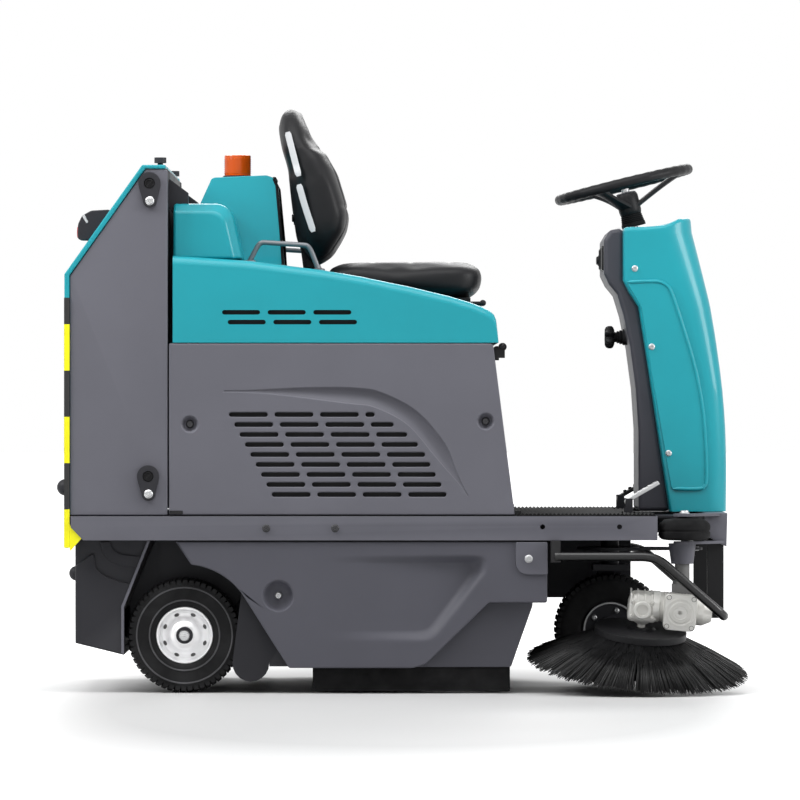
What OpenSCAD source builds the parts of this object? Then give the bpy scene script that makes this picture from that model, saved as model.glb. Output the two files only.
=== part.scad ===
/* [Frame] */
// Width over the side covers
body_w = 860; // [850:1:870]
// Height of the frame rails above the floor
rail_z = 332; // [331:1:333]
// Height of a frame rail
rail_h = 52; // [51:1:53]
// Wall of a frame rail
rail_t = 5; // [3:1:8]
// Thickness of the cover sheets
sheet = 4; // [3:1:5]

/* [Wheels] */
// Radius of the three tyres
wheel_r = 125; // [122:1:125]
// Width of a tyre
wheel_w = 80; // [70:1:80]
// Radius of a rim
rim_r = 62; // [56:1:66]

/* [Brushes] */
// Radius of the side brush over its bristles
brush_r = 243; // [230:1:243]
// Outward lean of the side brush
brush_lean = 11; // [8:1:11]
// Forward lean of the side brush
brush_pitch = 5; // [3:1:5]
// Radius of the main broom over its bristles
broom_r = 136; // [125:1:136]
// Half length of the main broom
broom_half = 350; // [320:1:350]
// Strands in one ring of the side brush
ring_strands = 50; // [40:1:60]
// Rows of strands along the main broom
broom_rows = 8; // [6:1:8]
// Strands in one row of the main broom
row_strands = 24; // [18:1:26]

/* [Steering] */
// Radius of the steering wheel to the middle of its rim
helm_r = 146; // [140:1:150]
// Lean of the steering column
helm_lean = 13.7; // [13.5:0.1:13.9]

/* [Hidden] */
$fn = 48;
half = body_w / 2;
rail_top = rail_z + rail_h;
rail_y = half + 6;
rail_deep = 42;
gap = 0.1;
far = 2000;
teal = "#26a5b0";
grey = "#6b6b73";
dark = "#323237";
black = "#141414";
silver = "#b9b7b2";

// Places along the machine and above the floor
rear_wheel = [-467, wheel_r];
front_wheel = [468, wheel_r];
wheel_y = 348;
brush_at = [522, -375, 136];
broom_at = [24, broom_r + 2];
arm_pivot = [-160, 280];
roller_at = [616, 398];
roller_r = 56;
rod_r = 16;
hopper_pivot = [-541, 1103];
lower_lock = [-544, 470];
pin_r = 12;
hood_axis = [222, 750];
seat_floor = 840;
well_y = 262;
back_pivot = [-200, 938];
beacon_z = 1127;
lever_at = [124, -196];
strut_x = 612;
back_pin_r = 10;
helm_at = [499, 1115];
ball_z = 516;
shaft_x = helm_at[0] + (helm_at[1] - ball_z) * tan(helm_lean);
shaft_r = 9;
ball_r = 16;
fork_pin_r = 20;
sprocket_r = 66;
pinion_r = 22;
sprocket_z = 300;
pedal_at = [500, 412];
pedal_y = 252;
pedal_lean = 30;
slot = [84, 10];
slot_pitch = [98, 21.6];
tip_drop = 85;

// The frame's origin lies on the floor under the middle of the bounding box
frame_x = -7.12;
frame_y = 69.57;

// Outlines in side view, X forward and Z up
rail_outline = [[-684, rail_z], [556, rail_z], [556, rail_top], [-711, rail_top], [-711, rail_z + 28]];
cover_outline = [[-499, 387], [248, 387], [201, 757], [-499, 757]];
panel_outline = [[244, 387], [248, 387], [201, 757], [197, 757]];
skirt_outline = concat(
    [[-487, 329], [318, 329], [318, 197], [192, 197], [55, 64], [28, 56], [-240, 56], [-345, 222]],
    arc(rear_wheel, 155, 40, 84, 6)
);
wall_outline = concat(
    [[-330, 322], [270, 322], [287, 190], [240, 58], [-283, 58]], arc([-323, 65], 40, 360, 180, 10)
);
shell_outline = [
    [593, 390], [547, 701], [525, 840], [490, 898], [491, 1017], [542, 1017], [582, 1021], [613, 1037],
    [635, 1039], [661, 941], [684, 846], [705, 710], [719, 565], [718, 390]
];
shell_inner = [
    [588, 380], [540, 701], [515, 840], [480, 898], [480, 1012], [542, 1012], [584, 1016], [614, 1032],
    [632, 1034], [656, 940], [679, 845], [700, 709], [714, 565], [713, 380]
];
back_outline = [
    [527, 390], [524, 508], [511, 701], [487, 857], [462, 888], [450, 910], [450, 987], [478, 1012],
    [489.5, 1016], [489.5, 898], [524, 840], [546, 701], [592, 390]
];
back_inner = [
    [532, 380], [529, 508], [516, 702], [491, 859], [466, 891], [455, 912], [455, 984], [480, 1006],
    [510, 1006], [510, 898], [544, 840], [566, 701], [612, 380]
];
hood_outline = [
    [-491, 759], [-491, 947], [-326, 936], [-168, 916], [-86, 902], [104, 860], [171, 840], [205, 822],
    [213, 759]
];
block_outline = concat([[-491, 949], [-491, 1061]], arc([-400, 1021], 40, 90, 14, 6), [[-342, 939.5]]);
tower_outline = concat(
    [[-444, 1061.5], [-416, 1123], [-409, beacon_z], [-325, beacon_z], [-295, 1131], [-280, 1126]],
    [[-273, 1111], [-259, 928.5], [-341.3, 938.9]], arc([-400, 1021], 40.5, 14, 90, 6)
);
side_outline = [[-713, 386], [-502, 386], [-502, 1134], [-549, 1134], [-713, 903]];
rear_outline = [
    [-725, 315], [-714, 315], [-714, 904], [-550, 1134.5], [-506, 1134.5], [-506, 1143], [-557, 1143],
    [-725, 907]
];
bin_outline = [[-704, 108], [-598, 82], [-598, 186], [-541, 331], [-541, 640], [-704, 640]];
bin_inner = [[-700, 112], [-602, 88], [-602, 187], [-545, 332], [-545, 660], [-700, 660]];
lamp_outline = [
    [-673, 981], [-697, 981], [-697, 1015], [-688, 1034], [-668, 1045], [-631, 1047], [-627, 1045.5]
];
bracket_outline = [[-528, 336], [-528, 200], [-500, 95], [-434, 95], [-340, 210], [-340, 336]];
beam_outline = [[663, 336], [673, 336], [710, 316], [712, 389], [663, 389]];
post_outline = [[669, 160], [705, 160], [705, 318.5], [673, 335.8], [669, 335.8]];
mast_outline = [
    [-486, rail_top], [-460, rail_top], [-460, 1085], [-500, 1115], [-541, 1127], [-541, 1079],
    [-500, 1050], [-486, 1030]
];

function arc(c, r, from, to, n) =
    [for (i = [0 : n]) let (a = from + (to - from) * i / n) [c[0] + r * cos(a), c[1] + r * sin(a)]];

// A side view outline drawn out from y0 to y1
module slab(outline, y0, y1) {
    translate([0, y1, 0]) rotate([90, 0, 0]) linear_extrude(height = y1 - y0) polygon(outline);
}

module pin(at, r, y0, y1) {
    translate([at[0], y0, at[1]]) rotate([-90, 0, 0]) cylinder(r = r, h = y1 - y0);
}

module both_sides() {
    children();
    mirror([0, 1, 0]) children();
}

module rod(a, b, r) {
    d = b - a;
    length = norm(d);
    translate(a)
        rotate([0, acos(d[2] / length), atan2(d[1], d[0])])
            cylinder(r = r, h = length);
}

// The steering column's own frame, its axis along Z and the wheel's middle at 0
module on_column() {
    translate([helm_at[0], 0, helm_at[1]]) rotate([0, -helm_lean, 0]) children();
}

// The side brush's own frame, with the disc's middle at 0
module on_brush() {
    translate(brush_at) rotate([brush_lean, brush_pitch, 0]) children();
}

module side_rails() {
    color(grey) both_sides() difference() {
        slab(rail_outline, -rail_y, -rail_y + rail_deep);
        translate([-far / 2, -rail_y + rail_t, rail_z + rail_t])
            cube([far, rail_deep, rail_h - 2 * rail_t]);
        for (x = [308, 474]) pin([x, 361], 5.5, -rail_y - 1, -rail_y + rail_t + 1);
    }
}

module deck_frame() {
    inner = rail_y - rail_deep;
    color(dark) difference() {
        union() {
            translate([-450, -inner, rail_top - 5]) cube([990, 2 * inner, 5]);
            translate([530, -330, rail_top - 5]) cube([133, 660, 5]);
            translate([320, 150, 190]) cube([200, 4, rail_top - 190]);
            for (x = [-500, -150, 200])
                translate([x, -inner, 336]) cube([50, 2 * inner, rail_top - 336]);
            translate([front_wheel[0], 0, 326]) cylinder(r = 42, h = rail_top - 326);
            for (y = [-pedal_y, pedal_y]) {
                for (e = [-40, 36]) translate([492, y + e, rail_top - 1]) cube([16, 4, 37]);
                pin(pedal_at, 4, y - 39, y + 39);
            }
        }
        translate([front_wheel[0], 0, 320]) cylinder(r = fork_pin_r + gap, h = 54);
        translate([shaft_x, 0, 320]) cylinder(r = shaft_r + gap, h = 100);
    }
}

module corner_tab(z, reach) {
    translate([0, 0, z]) linear_extrude(height = 6) union() {
        polygon([[663, -320], [663, -345], [606, -412], [626, -420], [reach, -345], [reach, -320]]);
        translate([roller_at[0], -roller_at[1]]) circle(r = 24);
    }
}

module front_beam() {
    color(grey) difference() {
        union() {
            slab(beam_outline, -340, 340);
            both_sides() {
                corner_tab(383, 695);
                corner_tab(323, 705);
                translate([roller_at[0], -roller_at[1], 324]) cylinder(r = 8, h = 64);
            }
            translate([strut_x, brush_at[1], 280]) cylinder(r1 = 24, r2 = 30, h = 44);
        }
        translate([strut_x, brush_at[1], 270]) cylinder(r = rod_r + gap, h = 52);
    }
}

module floor_mat() {
    rib = 8.6;
    ribs = 35;
    teeth = [for (i = [0 : ribs - 1]) for (k = [0, 0.5]) [252 + (i + k) * rib, k == 0 ? 387 : 391]];
    color(black) difference() {
        slab(concat([[252 + ribs * rib, rail_top], [252, rail_top]], teeth), -rail_y, rail_y);
        translate([515, -206, 380]) cube([100, 412, 20]);
        both_sides() translate([480, -pedal_y - 42, 380]) cube([40, 84, 20]);
    }
}

// Four slots in a row, each row set back from the last, ending on a swept line
module louvres() {
    for (i = [0 : 8])
        for (j = [0 : 3])
            let (x = -370 + 11.6 * i + slot_pitch[0] * j, end = 100 - 175 * pow((8 - i) / 8, 2))
                if (end - x > 15)
                    translate([x, 599 - slot_pitch[1] * i]) square([min(slot[0], end - x), slot[1]]);
}

module side_cover() {
    color(grey) translate([0, -half + sheet, 0]) rotate([90, 0, 0])
        linear_extrude(height = sheet) difference() {
            polygon(cover_outline);
            louvres();
        }
}

module right_side_cover() { side_cover(); }
module left_side_cover() { mirror([0, 1, 0]) side_cover(); }

module front_panel() {
    color(grey) slab(panel_outline, -half + sheet + 0.5, half - sheet - 0.5);
}

module skirt() {
    color(grey) difference() {
        slab(skirt_outline, -half, -half + 6);
        pin([-263, 212], 30, -half - 1, -half + 3);
    }
}

module right_skirt() { skirt(); }
module left_skirt() { mirror([0, 1, 0]) skirt(); }

module dust_flaps() {
    color(black) both_sides() translate([-189, -400, 5]) cube([427, 4, 90]);
}

module masts() {
    color(dark) both_sides() {
        slab(mast_outline, -356, -330);
        pin(hopper_pivot, 24, -356, -330);
        pin(hopper_pivot, pin_r, -half + 1.5, -340);
    }
    color(dark) translate([-484, -331, 840]) cube([20, 662, 40]);
}

module console_shell() {
    color(teal) difference() {
        union() {
            difference() {
                slab(shell_outline, -200, 200);
                slab(shell_inner, -195, 195);
                translate([440, -151, 380]) cube([160, 302, 632]);
            }
            intersection() {
                translate([570, -197, 700]) cube([100, 394, 12]);
                slab(shell_outline, -197, 197);
            }
        }
        on_column() translate([0, 0, -500]) cylinder(r = shaft_r + gap, h = 250);
        on_column() translate([0, 0, -130]) cylinder(r = 32, h = 100);
    }
}

module console_back() {
    color(dark) difference() {
        slab(back_outline, -150, 150);
        slab(back_inner, -145, 145);
        translate([490, 0, 775]) rotate([0, 90, 0]) cylinder(r = 6 + gap, h = 30);
    }
}

module broom_housing() {
    color(dark) difference() {
        union() {
            both_sides() {
                slab(wall_outline, -395, -391);
                translate([-530, -294, 90]) cube([200, 4, 232]);
                translate([-334, -395, 90]) cube([4, 105, 232]);
            }
            translate([-334, -395, 322]) cube([604, 790, 4]);
            translate([-530, -294, 322]) cube([200, 588, 4]);
        }
        pin(arm_pivot, 10 + gap, -400, 400);
    }
}

module front_guard() {
    tube = 10.5;
    side = 448;
    start = [335, -side, 297];
    knee = [552, -side, 297];
    toe = [700, -side, 168];
    color(black) union() {
        both_sides() {
            rod(start, knee, tube);
            rod(knee, toe, tube);
            translate(knee) sphere(r = tube + 0.4);
            translate(toe) sphere(r = tube + 0.4);
            translate([325, -side - 6, 286]) cube([22, 26, rail_z - 286]);
            slab(post_outline, -319, -311);
        }
        rod(toe, [toe[0], side, toe[2]], tube);
    }
}

module batteries() {
    color(black) for (x = [-400, -130])
        both_sides() translate([x, -190, rail_top]) cube([260, 180, 276]);
}

module rear_axles() {
    color(silver) both_sides() {
        slab(bracket_outline, -303, -295);
        pin(rear_wheel, 12, -394, -300);
    }
}

module suction_fan() {
    color(silver) translate([-464, 0, 860]) rotate([0, 90, 0]) union() {
        cylinder(r = 75, h = 60);
        cylinder(r = 45, h = 105);
    }
}

module chain_loop(extra) {
    hull() {
        translate([front_wheel[0], 0]) circle(r = sprocket_r + extra, $fn = 64);
        translate([shaft_x, 0]) circle(r = pinion_r + extra, $fn = 64);
    }
}

module steering_chain() {
    color(silver) translate([0, 0, sprocket_z + 1]) linear_extrude(height = 6) difference() {
        chain_loop(7);
        chain_loop(0.6);
    }
}

module fasteners() {
    covers = [[-454, 583], [185, 589]];
    rails = [[-289, 358], [-140, 358]];
    shell = [[510, 924], [547, 752], [584, 518]];
    color(silver) both_sides() {
        for (p = covers) pin(p, 8, -half - 4, -half);
        for (p = rails) pin(p, 8, -rail_y - 4, -rail_y);
        for (p = shell) pin(p + [6, 0], 7, -203, -200);
        pin([-263, 212], 8, -half - 2, -half + 3);
        pin([278, 292], 9, -half - 4, -half);
        translate([roller_at[0], -roller_at[1], 389]) cylinder(r = 11, h = 7, $fn = 6);
    }
}

module hood_hinges() {
    color(black) both_sides() difference() {
        union() {
            pin(hood_axis, 9, -405, -385);
            translate([203, -405, 726]) cube([24, 20, 22]);
            pin(hood_axis, 4, -424, -400);
        }
        slab([[190, 700], [209, 700], [201.3, 757], [190, 757]], -410, -380);
    }
}

module hood_form(inset) {
    lower = [for (p = hood_outline) [p[0], min(p[1], p[1] > 800 ? p[1] - 34 : p[1])]];
    hull() {
        slab(lower, -half + 1 + inset, half - 1 - inset);
        slab(hood_outline, -half + 32 + inset, half - 32 - inset);
    }
}

module hood_vents() {
    for (i = [0 : 1])
        for (j = [0 : 2])
            translate([-385 + 12 * i + 98 * j, -far / 2, 822 - 21.6 * i]) cube([83, far, 9.5]);
}

module top_cover() {
    color(teal) union() {
        difference() {
            hood_form(0);
            difference() {
                translate([0.5, 0, -5]) scale([0.985, 1, 1]) hood_form(5);
                translate([-250, -well_y - 5, seat_floor - 5]) cube([600, 2 * well_y + 10, 200]);
            }
            translate([-245, -well_y, seat_floor]) cube([600, 2 * well_y, 200]);
            translate([-500, -385, 750]) cube([150, 770, 300]);
            hood_vents();
        }
        both_sides() difference() {
            union() {
                pin(hood_axis, 9, -423, -405.5);
                translate([204, -423, 759.5]) cube([18, 17.5, 20]);
                translate([214, -423, 751]) cube([14, 17.5, 14]);
            }
            pin(hood_axis, 4 + gap, -430, -400);
        }
    }
}

module filter_block() {
    color(teal) difference() {
        slab(block_outline, -396, 396);
        translate([-6, 0, -5]) slab(block_outline, -391, 391);
        both_sides() translate([-500, -366, 1000]) cube([50, 44, 100]);
    }
}

module tower() {
    color(teal) difference() {
        slab(tower_outline, -170, 170);
        translate([-335, -165, 900]) cube([58, 330, 200]);
    }
}

module beacon() {
    color("#e06414") union() {
        translate([-362, 0, beacon_z]) cylinder(r = 33, h = 8);
        translate([-362, 0, beacon_z]) cylinder(r = 30, h = 47);
        translate([-362, 0, beacon_z + 47]) cylinder(r1 = 30, r2 = 24, h = 7);
    }
}

module grab_bars() {
    rear_foot = [-325.7, -282, 941];
    rear_top = [-306, -282, 979];
    front_top = [-200, -282, 973];
    front_foot = [-178, -282, 922.5];
    color(silver) both_sides() {
        rod(rear_foot, rear_top, 5.5);
        rod(rear_top, front_top, 5.7);
        rod(front_foot, front_top, 5.5);
        translate(rear_top) sphere(r = 6.2);
        translate(front_top) sphere(r = 6.2);
    }
}

module seat_rails() {
    color(silver) both_sides() difference() {
        translate([-150, -180, seat_floor]) cube([330, 30, 11]);
        translate([-160, -172, seat_floor + 4]) cube([350, 14, 10]);
    }
}

module seat_pan() {
    color(black) union() {
        translate([-155, -200, 852]) cube([310, 400, 8]);
        both_sides() {
            translate([-120, -171, seat_floor + 5]) cube([210, 12, 10]);
            translate([-205, -60, 852]) cube([60, 40, 8]);
            translate([-205, -60, 852]) cube([10, 40, back_pivot[1] - 852]);
            pin(back_pivot, back_pin_r, -90, -20);
        }
    }
}

// A pad on a grid, rounded in plan, with a crowned top, drawn-in sides and channels across
function crown(u, v) = (1 - pow(abs(u), 4)) * (1 - pow(abs(v), 4));
function channel(u, lines) = len(lines) == 0 ? 0 : max([for (c = lines) exp(-pow((u - c) * 14, 2))]);

module pad(length, width, edge, rise, lines, swell) {
    n = 24;
    m = 20;
    top = [for (i = [0 : n]) for (j = [0 : m])
        let (u = 2 * i / n - 1, v = 2 * j / m - 1, round_u = u * sqrt(1 - 0.16 * v * v))
        let (round_v = v * sqrt(1 - 0.16 * u * u), c = crown(u, v))
            [length / 2 * round_u, width / 2 * round_v,
                edge + c * (rise + swell * cos(90 * (u + 0.35)) - 5 * channel(u, lines))]];
    bottom = [for (p = top) [p[0] * 0.94, p[1] * 0.94, 0]];
    half_n = len(top);
    function at(i, j) = i * (m + 1) + j;
    rim = concat([for (j = [0 : m - 1]) at(0, j)], [for (i = [0 : n - 1]) at(i, m)],
        [for (j = [m : -1 : 1]) at(n, j)], [for (i = [n : -1 : 1]) at(i, 0)]);
    sheets = [for (i = [0 : n - 1]) for (j = [0 : m - 1]) each [
        [at(i, j), at(i, j + 1), at(i + 1, j + 1)], [at(i, j), at(i + 1, j + 1), at(i + 1, j)]]];
    walls = [for (k = [0 : len(rim) - 1]) let (a = rim[k], b = rim[(k + 1) % len(rim)]) each [
        [a, half_n + a, half_n + b], [a, half_n + b, b]]];
    base = [[for (k = [len(rim) - 1 : -1 : 0]) half_n + rim[k]]];
    polyhedron(points = concat(top, bottom), faces = concat(sheets, walls, base), convexity = 4);
}

module seat_cushion() {
    color(black) translate([10, 0, 861]) pad(334, 470, 42, 28, [-0.45, 0.1, 0.6], 0);
}

module backrest() {
    color(black) union() {
        translate([-232, 0, 1110]) rotate([0, 84, 0]) pad(326, 450, 34, 14, [-0.55, 0, 0.5], 44);
        both_sides() difference() {
            translate([back_pivot[0] - 14, -84, back_pivot[1] - 14]) cube([28, 20, 60]);
            pin(back_pivot, back_pin_r + gap, -100, -50);
        }
    }
}

module seat_lever() {
    color(black) union() {
        translate([lever_at[0], lever_at[1], 841]) cylinder(r = 9, h = 10.7);
        rod([lever_at[0], lever_at[1], 846.5], [182, -210, 846.5], 5);
        translate([182, -210, 848]) sphere(r = 7);
    }
}

module hopper_shell() {
    color(grey) difference() {
        union() {
            both_sides() slab(side_outline, -half + 1, -half + 1 + sheet);
            translate([-506, -half + 2, 650]) cube([sheet, body_w - 4, 484]);
        }
        pin(hopper_pivot, pin_r + gap, -far / 2, far / 2);
        both_sides() translate([-530, -366, 900]) cube([40, 44, 300]);
    }
}

module hopper_cover() {
    color(teal) difference() {
        slab(rear_outline, -half - 2, half + 2);
        both_sides() translate([-566, -366, 1100]) cube([80, 44, 60]);
    }
}

module hopper_bin() {
    color(dark) union() {
        difference() {
            slab(bin_outline, -380, 380);
            slab(bin_inner, -376, 376);
            translate([-620, -360, 100]) cube([40, 720, 80]);
        }
        both_sides() translate([-680, -half + 1 + sheet, 560]) cube([110, half - 1 - sheet - 379, 40]);
    }
}

module teardrop(at, neck) {
    difference() {
        union() {
            pin(at, 24, -half - 9, -half + 1);
            pin([at[0] + 1, at[1] - 38], 15, -half - 9, -half + 1);
            slab([[at[0] - 23, at[1] - 8], [at[0] + 23, at[1] - 8], [at[0] + 16, at[1] - 38],
                [at[0] - 14, at[1] - 38]], -half - 9, -half + 1);
        }
        pin(at, neck, -half - 10, -half - 3);
    }
}

// Pivot and lock brackets on the sides, and the two knobs on top
module hopper_fittings() {
    color(dark) both_sides() {
        teardrop(hopper_pivot, 12);
        teardrop(lower_lock, 12);
        translate([-519, -395, 1143]) cylinder(r = 6, h = 10);
        translate([-519, -395, 1148]) cylinder(r = 13, h = 12);
    }
}

module rear_lamps() {
    color(dark) both_sides() slab(lamp_outline, -410, -340);
}

module buffer(at, r) {
    translate(at) rotate([0, -90, 0]) intersection() {
        sphere(r = r);
        cylinder(r = r + 1, h = r + 1);
    }
}

module rear_buffers() {
    color(dark) both_sides() {
        buffer([-725, -395, 446], 18);
        buffer([-704, -330, 258], 16);
    }
}

module filter_panel() {
    color("white") translate([-713.5, -half + 6, 700]) cube([207, body_w - 12, 70]);
}

module steering_wheel() {
    color(black) on_column() union() {
        rotate_extrude() translate([helm_r, 0]) circle(r = 12);
        for (a = [0, 120, 240]) rotate([0, 0, a]) rod([20, 0, -28], [helm_r, 0, 0], 8);
        difference() {
            translate([0, 0, -66]) cylinder(r = 25, h = 70);
            translate([0, 0, -70]) cylinder(r = shaft_r, h = 60);
        }
    }
}

module steering_shaft() {
    length = (helm_at[1] - ball_z) / cos(helm_lean);
    color(silver) on_column() union() {
        translate([0, 0, -length]) cylinder(r = shaft_r, h = length - 10);
        translate([0, 0, -length]) sphere(r = ball_r);
    }
}

module lower_shaft() {
    color(silver) translate([shaft_x, 0, 0]) difference() {
        union() {
            translate([0, 0, 292]) cylinder(r = shaft_r, h = 200);
            translate([0, 0, sprocket_z]) cylinder(r = pinion_r, h = 8);
            translate([0, 0, 486]) cylinder(r = 24, h = ball_z - 486 + 3);
        }
        translate([0, 0, ball_z]) sphere(r = ball_r + 0.4);
    }
}

module fork() {
    color(dark) translate([front_wheel[0], 0, 0]) difference() {
        union() {
            translate([-40, -62, 256]) cube([80, 124, 14]);
            translate([-28, 50, 95]) cube([56, 12, 165]);
            cylinder_at(268, fork_pin_r, 104);
            cylinder_at(sprocket_z, sprocket_r, 8);
        }
        pin([0, wheel_r], 14 + gap, 40, 70);
    }
}

module cylinder_at(z, r, h) {
    translate([0, 0, z]) cylinder(r = r, h = h);
}

module tyre(at, y) {
    bead = wheel_w / 2 - 6;
    shoulder = wheel_r - 12;
    color(black) translate([at[0], y, at[1]]) rotate([90, 0, 0]) rotate_extrude()
        polygon([[rim_r, -bead], [shoulder, -wheel_w / 2], [wheel_r, -wheel_w / 2 + 10],
            [wheel_r, wheel_w / 2 - 10], [shoulder, wheel_w / 2], [rim_r, bead]]);
}

module rim(at, y, bore) {
    color(silver) translate([at[0], y, at[1]]) rotate([90, 0, 0]) difference() {
        rotate_extrude() polygon([[0, -30], [rim_r, -30], [rim_r, 30], [rim_r - 8, 30], [rim_r - 14, 22],
            [30, 22], [22, 36], [0, 36]]);
        translate([0, 0, -50]) cylinder(r = bore, h = 100);
    }
}

module right_tyre() { tyre(rear_wheel, -wheel_y); }
module left_tyre() { mirror([0, 1, 0]) tyre(rear_wheel, -wheel_y); }
module right_rim() { rim(rear_wheel, -wheel_y, 12 + gap); }
module left_rim() { mirror([0, 1, 0]) rim(rear_wheel, -wheel_y, 12 + gap); }
module front_tyre() { tyre(front_wheel, 0); }

module drive_hub() {
    color(dark) union() {
        pin(front_wheel, rim_r, -34, 34);
        pin(front_wheel, 30, -48, 48);
        pin(front_wheel, 14, -52, 66);
    }
}

module gearmotor_can() {
    translate([20, 0, 56]) rotate([0, 90, 0]) cylinder(r = 34, h = 110);
    translate([130, 0, 56]) rotate([0, 90, 0]) cylinder(r1 = 34, r2 = 24, h = 20);
}

module gearmotor() {
    color(silver) on_brush() union() {
        gearmotor_can();
        translate([-34, -30, 24]) cube([66, 60, 62]);
        difference() {
            translate([44, -42, 14]) cube([72, 12, 82]);
            for (x = [54, 106]) for (z = [23, 87]) pin([x, z], 5, -50, -29);
        }
        translate([0, 0, 8]) cylinder(r = 9, h = 20);
    }
}

module lift_rod() {
    color(dark) difference() {
        union() {
            translate([strut_x, brush_at[1], 215]) cylinder(r = rod_r, h = 70);
            translate([strut_x - 22, brush_at[1] - 20, 200]) cube([44, 40, 36]);
        }
        on_brush() gearmotor_can();
    }
}

module brush_disc() {
    color(dark) on_brush() difference() {
        union() {
            translate([0, 0, -12]) cylinder(r = 100, h = 16);
            cylinder(r1 = 40, r2 = 26, h = 7.5);
        }
        translate([0, 0, -20]) cylinder(r = 6, h = 20);
    }
}

// One three-sided strand from a to b
module strand(a, b, w) {
    d = (b - a) / norm(b - a);
    side = cross(d, [0, 0, 1]) / norm(cross(d, [0, 0, 1]));
    up = cross(side, d);
    ring = [for (k = [0 : 2]) side * w * cos(120 * k) + up * w * sin(120 * k)];
    polyhedron(
        points = concat([for (p = ring) a + p], [for (p = ring) b + p * 0.6]),
        faces = [[2, 1, 0], [3, 4, 5], [1, 3, 0], [4, 3, 1], [2, 4, 1], [5, 4, 2], [0, 5, 2], [3, 5, 0]]
    );
}

module ring_slice(r0, r1, h) {
    n = 48;
    for (i = [0 : n - 1]) hull() for (k = [0, 1]) rotate([0, 0, (i + k) * 360 / n])
        translate([r0, -0.1, 0]) cube([r1 - r0, 0.2, h]);
}

module side_bristles() {
    rings = [[58, 120, 0.96], [70, 160, 0.99], [82, 202, 1], [94, brush_r, 1]];
    color(black) on_brush() translate([0, 0, -18]) union() {
        ring_slice(50, 100, 6);
        for (i = [0 : 3]) for (k = [0 : ring_strands - 1]) let (a = (k + i / 4) * 360 / ring_strands)
            strand([rings[i][0] * cos(a), rings[i][0] * sin(a), 2],
                [rings[i][1] * cos(a), rings[i][1] * sin(a), -(tip_drop - 19) * rings[i][2]], 2.2);
    }
}

module broom_arms() {
    color(grey) difference() {
        union() {
            both_sides() {
                slab([[-168, 262], [-142, 294], [44, 158], [8, 120]], -372, -360);
                pin(arm_pivot, 22, -372, -360);
                pin(broom_at, 30, -372, -360);
                pin(arm_pivot, 10, -394, -366);
            }
            pin(broom_at, 42, 372, 388);
        }
        pin(broom_at, 12 + gap, -400, 400);
    }
}

module broom_core() {
    color(dark) union() {
        pin(broom_at, 56, -broom_half, broom_half);
        pin(broom_at, 12, -372, 372);
    }
}

module broom_bristles() {
    color(black) translate([broom_at[0], 0, broom_at[1]]) rotate([90, 0, 0]) union() {
        translate([0, 0, -broom_half + 5]) ring_slice(56.3, 62, 2 * broom_half - 10);
        for (i = [0 : broom_rows - 1]) for (k = [0 : row_strands - 1])
            let (y = (2 * (k + 0.5) / row_strands - 1) * (broom_half - 12))
                let (a = 360 * i / broom_rows + abs(y) / 8)
                    strand([59 * cos(a), 59 * sin(a), y], [broom_r * cos(a), broom_r * sin(a), y], 4);
    }
}

module pedal() {
    translate([pedal_at[0], 0, pedal_at[1]]) rotate([0, -pedal_lean, 0]) difference() {
        union() {
            translate([0, -35, 0]) cube([78, 70, 8]);
            pin([0, 0], 8, -35, 35);
        }
        pin([0, 0], 4 + gap, -40, 40);
    }
}

module drive_pedal() { color(silver) translate([0, -pedal_y, 0]) pedal(); }
module brake_pedal() { color(dark) translate([0, pedal_y, 0]) pedal(); }

// A star knob on a stalk that points back at the driver
module control_knob() {
    color(black) translate([456, 0, 775]) rotate([0, 90, 0]) union() {
        cylinder(r = 20, h = 22);
        for (a = [0 : 72 : 359]) rotate([0, 0, a]) translate([17, 0, 0]) cylinder(r = 9, h = 22);
        cylinder(r = 6, h = 56);
    }
}

module roller(y) {
    color(black) translate([roller_at[0], y, 331]) rotate_extrude()
        polygon([[8 + gap, 0], [40, 0], [roller_r, 8], [roller_r, 34], [46, 48], [8 + gap, 51]]);
}

module right_roller() { roller(-roller_at[1]); }
module left_roller() { roller(roller_at[1]); }

module in_frame() { translate([frame_x, frame_y, 0]) children(); }

in_frame() side_rails();
in_frame() deck_frame();
in_frame() front_beam();
in_frame() floor_mat();
in_frame() right_side_cover();
in_frame() left_side_cover();
in_frame() front_panel();
in_frame() right_skirt();
in_frame() left_skirt();
in_frame() dust_flaps();
in_frame() masts();
in_frame() console_shell();
in_frame() console_back();
in_frame() broom_housing();
in_frame() front_guard();
in_frame() batteries();
in_frame() rear_axles();
in_frame() suction_fan();
in_frame() steering_chain();
in_frame() fasteners();
in_frame() hood_hinges();
in_frame() top_cover();
in_frame() filter_block();
in_frame() tower();
in_frame() beacon();
in_frame() grab_bars();
in_frame() seat_rails();
in_frame() seat_pan();
in_frame() seat_cushion();
in_frame() backrest();
in_frame() seat_lever();
in_frame() hopper_shell();
in_frame() hopper_cover();
in_frame() hopper_bin();
in_frame() hopper_fittings();
in_frame() rear_lamps();
in_frame() rear_buffers();
in_frame() filter_panel();
in_frame() steering_wheel();
in_frame() steering_shaft();
in_frame() lower_shaft();
in_frame() fork();
in_frame() front_tyre();
in_frame() drive_hub();
in_frame() right_tyre();
in_frame() right_rim();
in_frame() left_tyre();
in_frame() left_rim();
in_frame() lift_rod();
in_frame() gearmotor();
in_frame() brush_disc();
in_frame() side_bristles();
in_frame() broom_arms();
in_frame() broom_core();
in_frame() broom_bristles();
in_frame() drive_pedal();
in_frame() brake_pedal();
in_frame() control_knob();
in_frame() right_roller();
in_frame() left_roller();
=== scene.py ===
import random
from math import copysign, cos, exp, pi, radians, sin, tan

import bmesh
import bpy
from mathutils import Matrix, Vector


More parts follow.
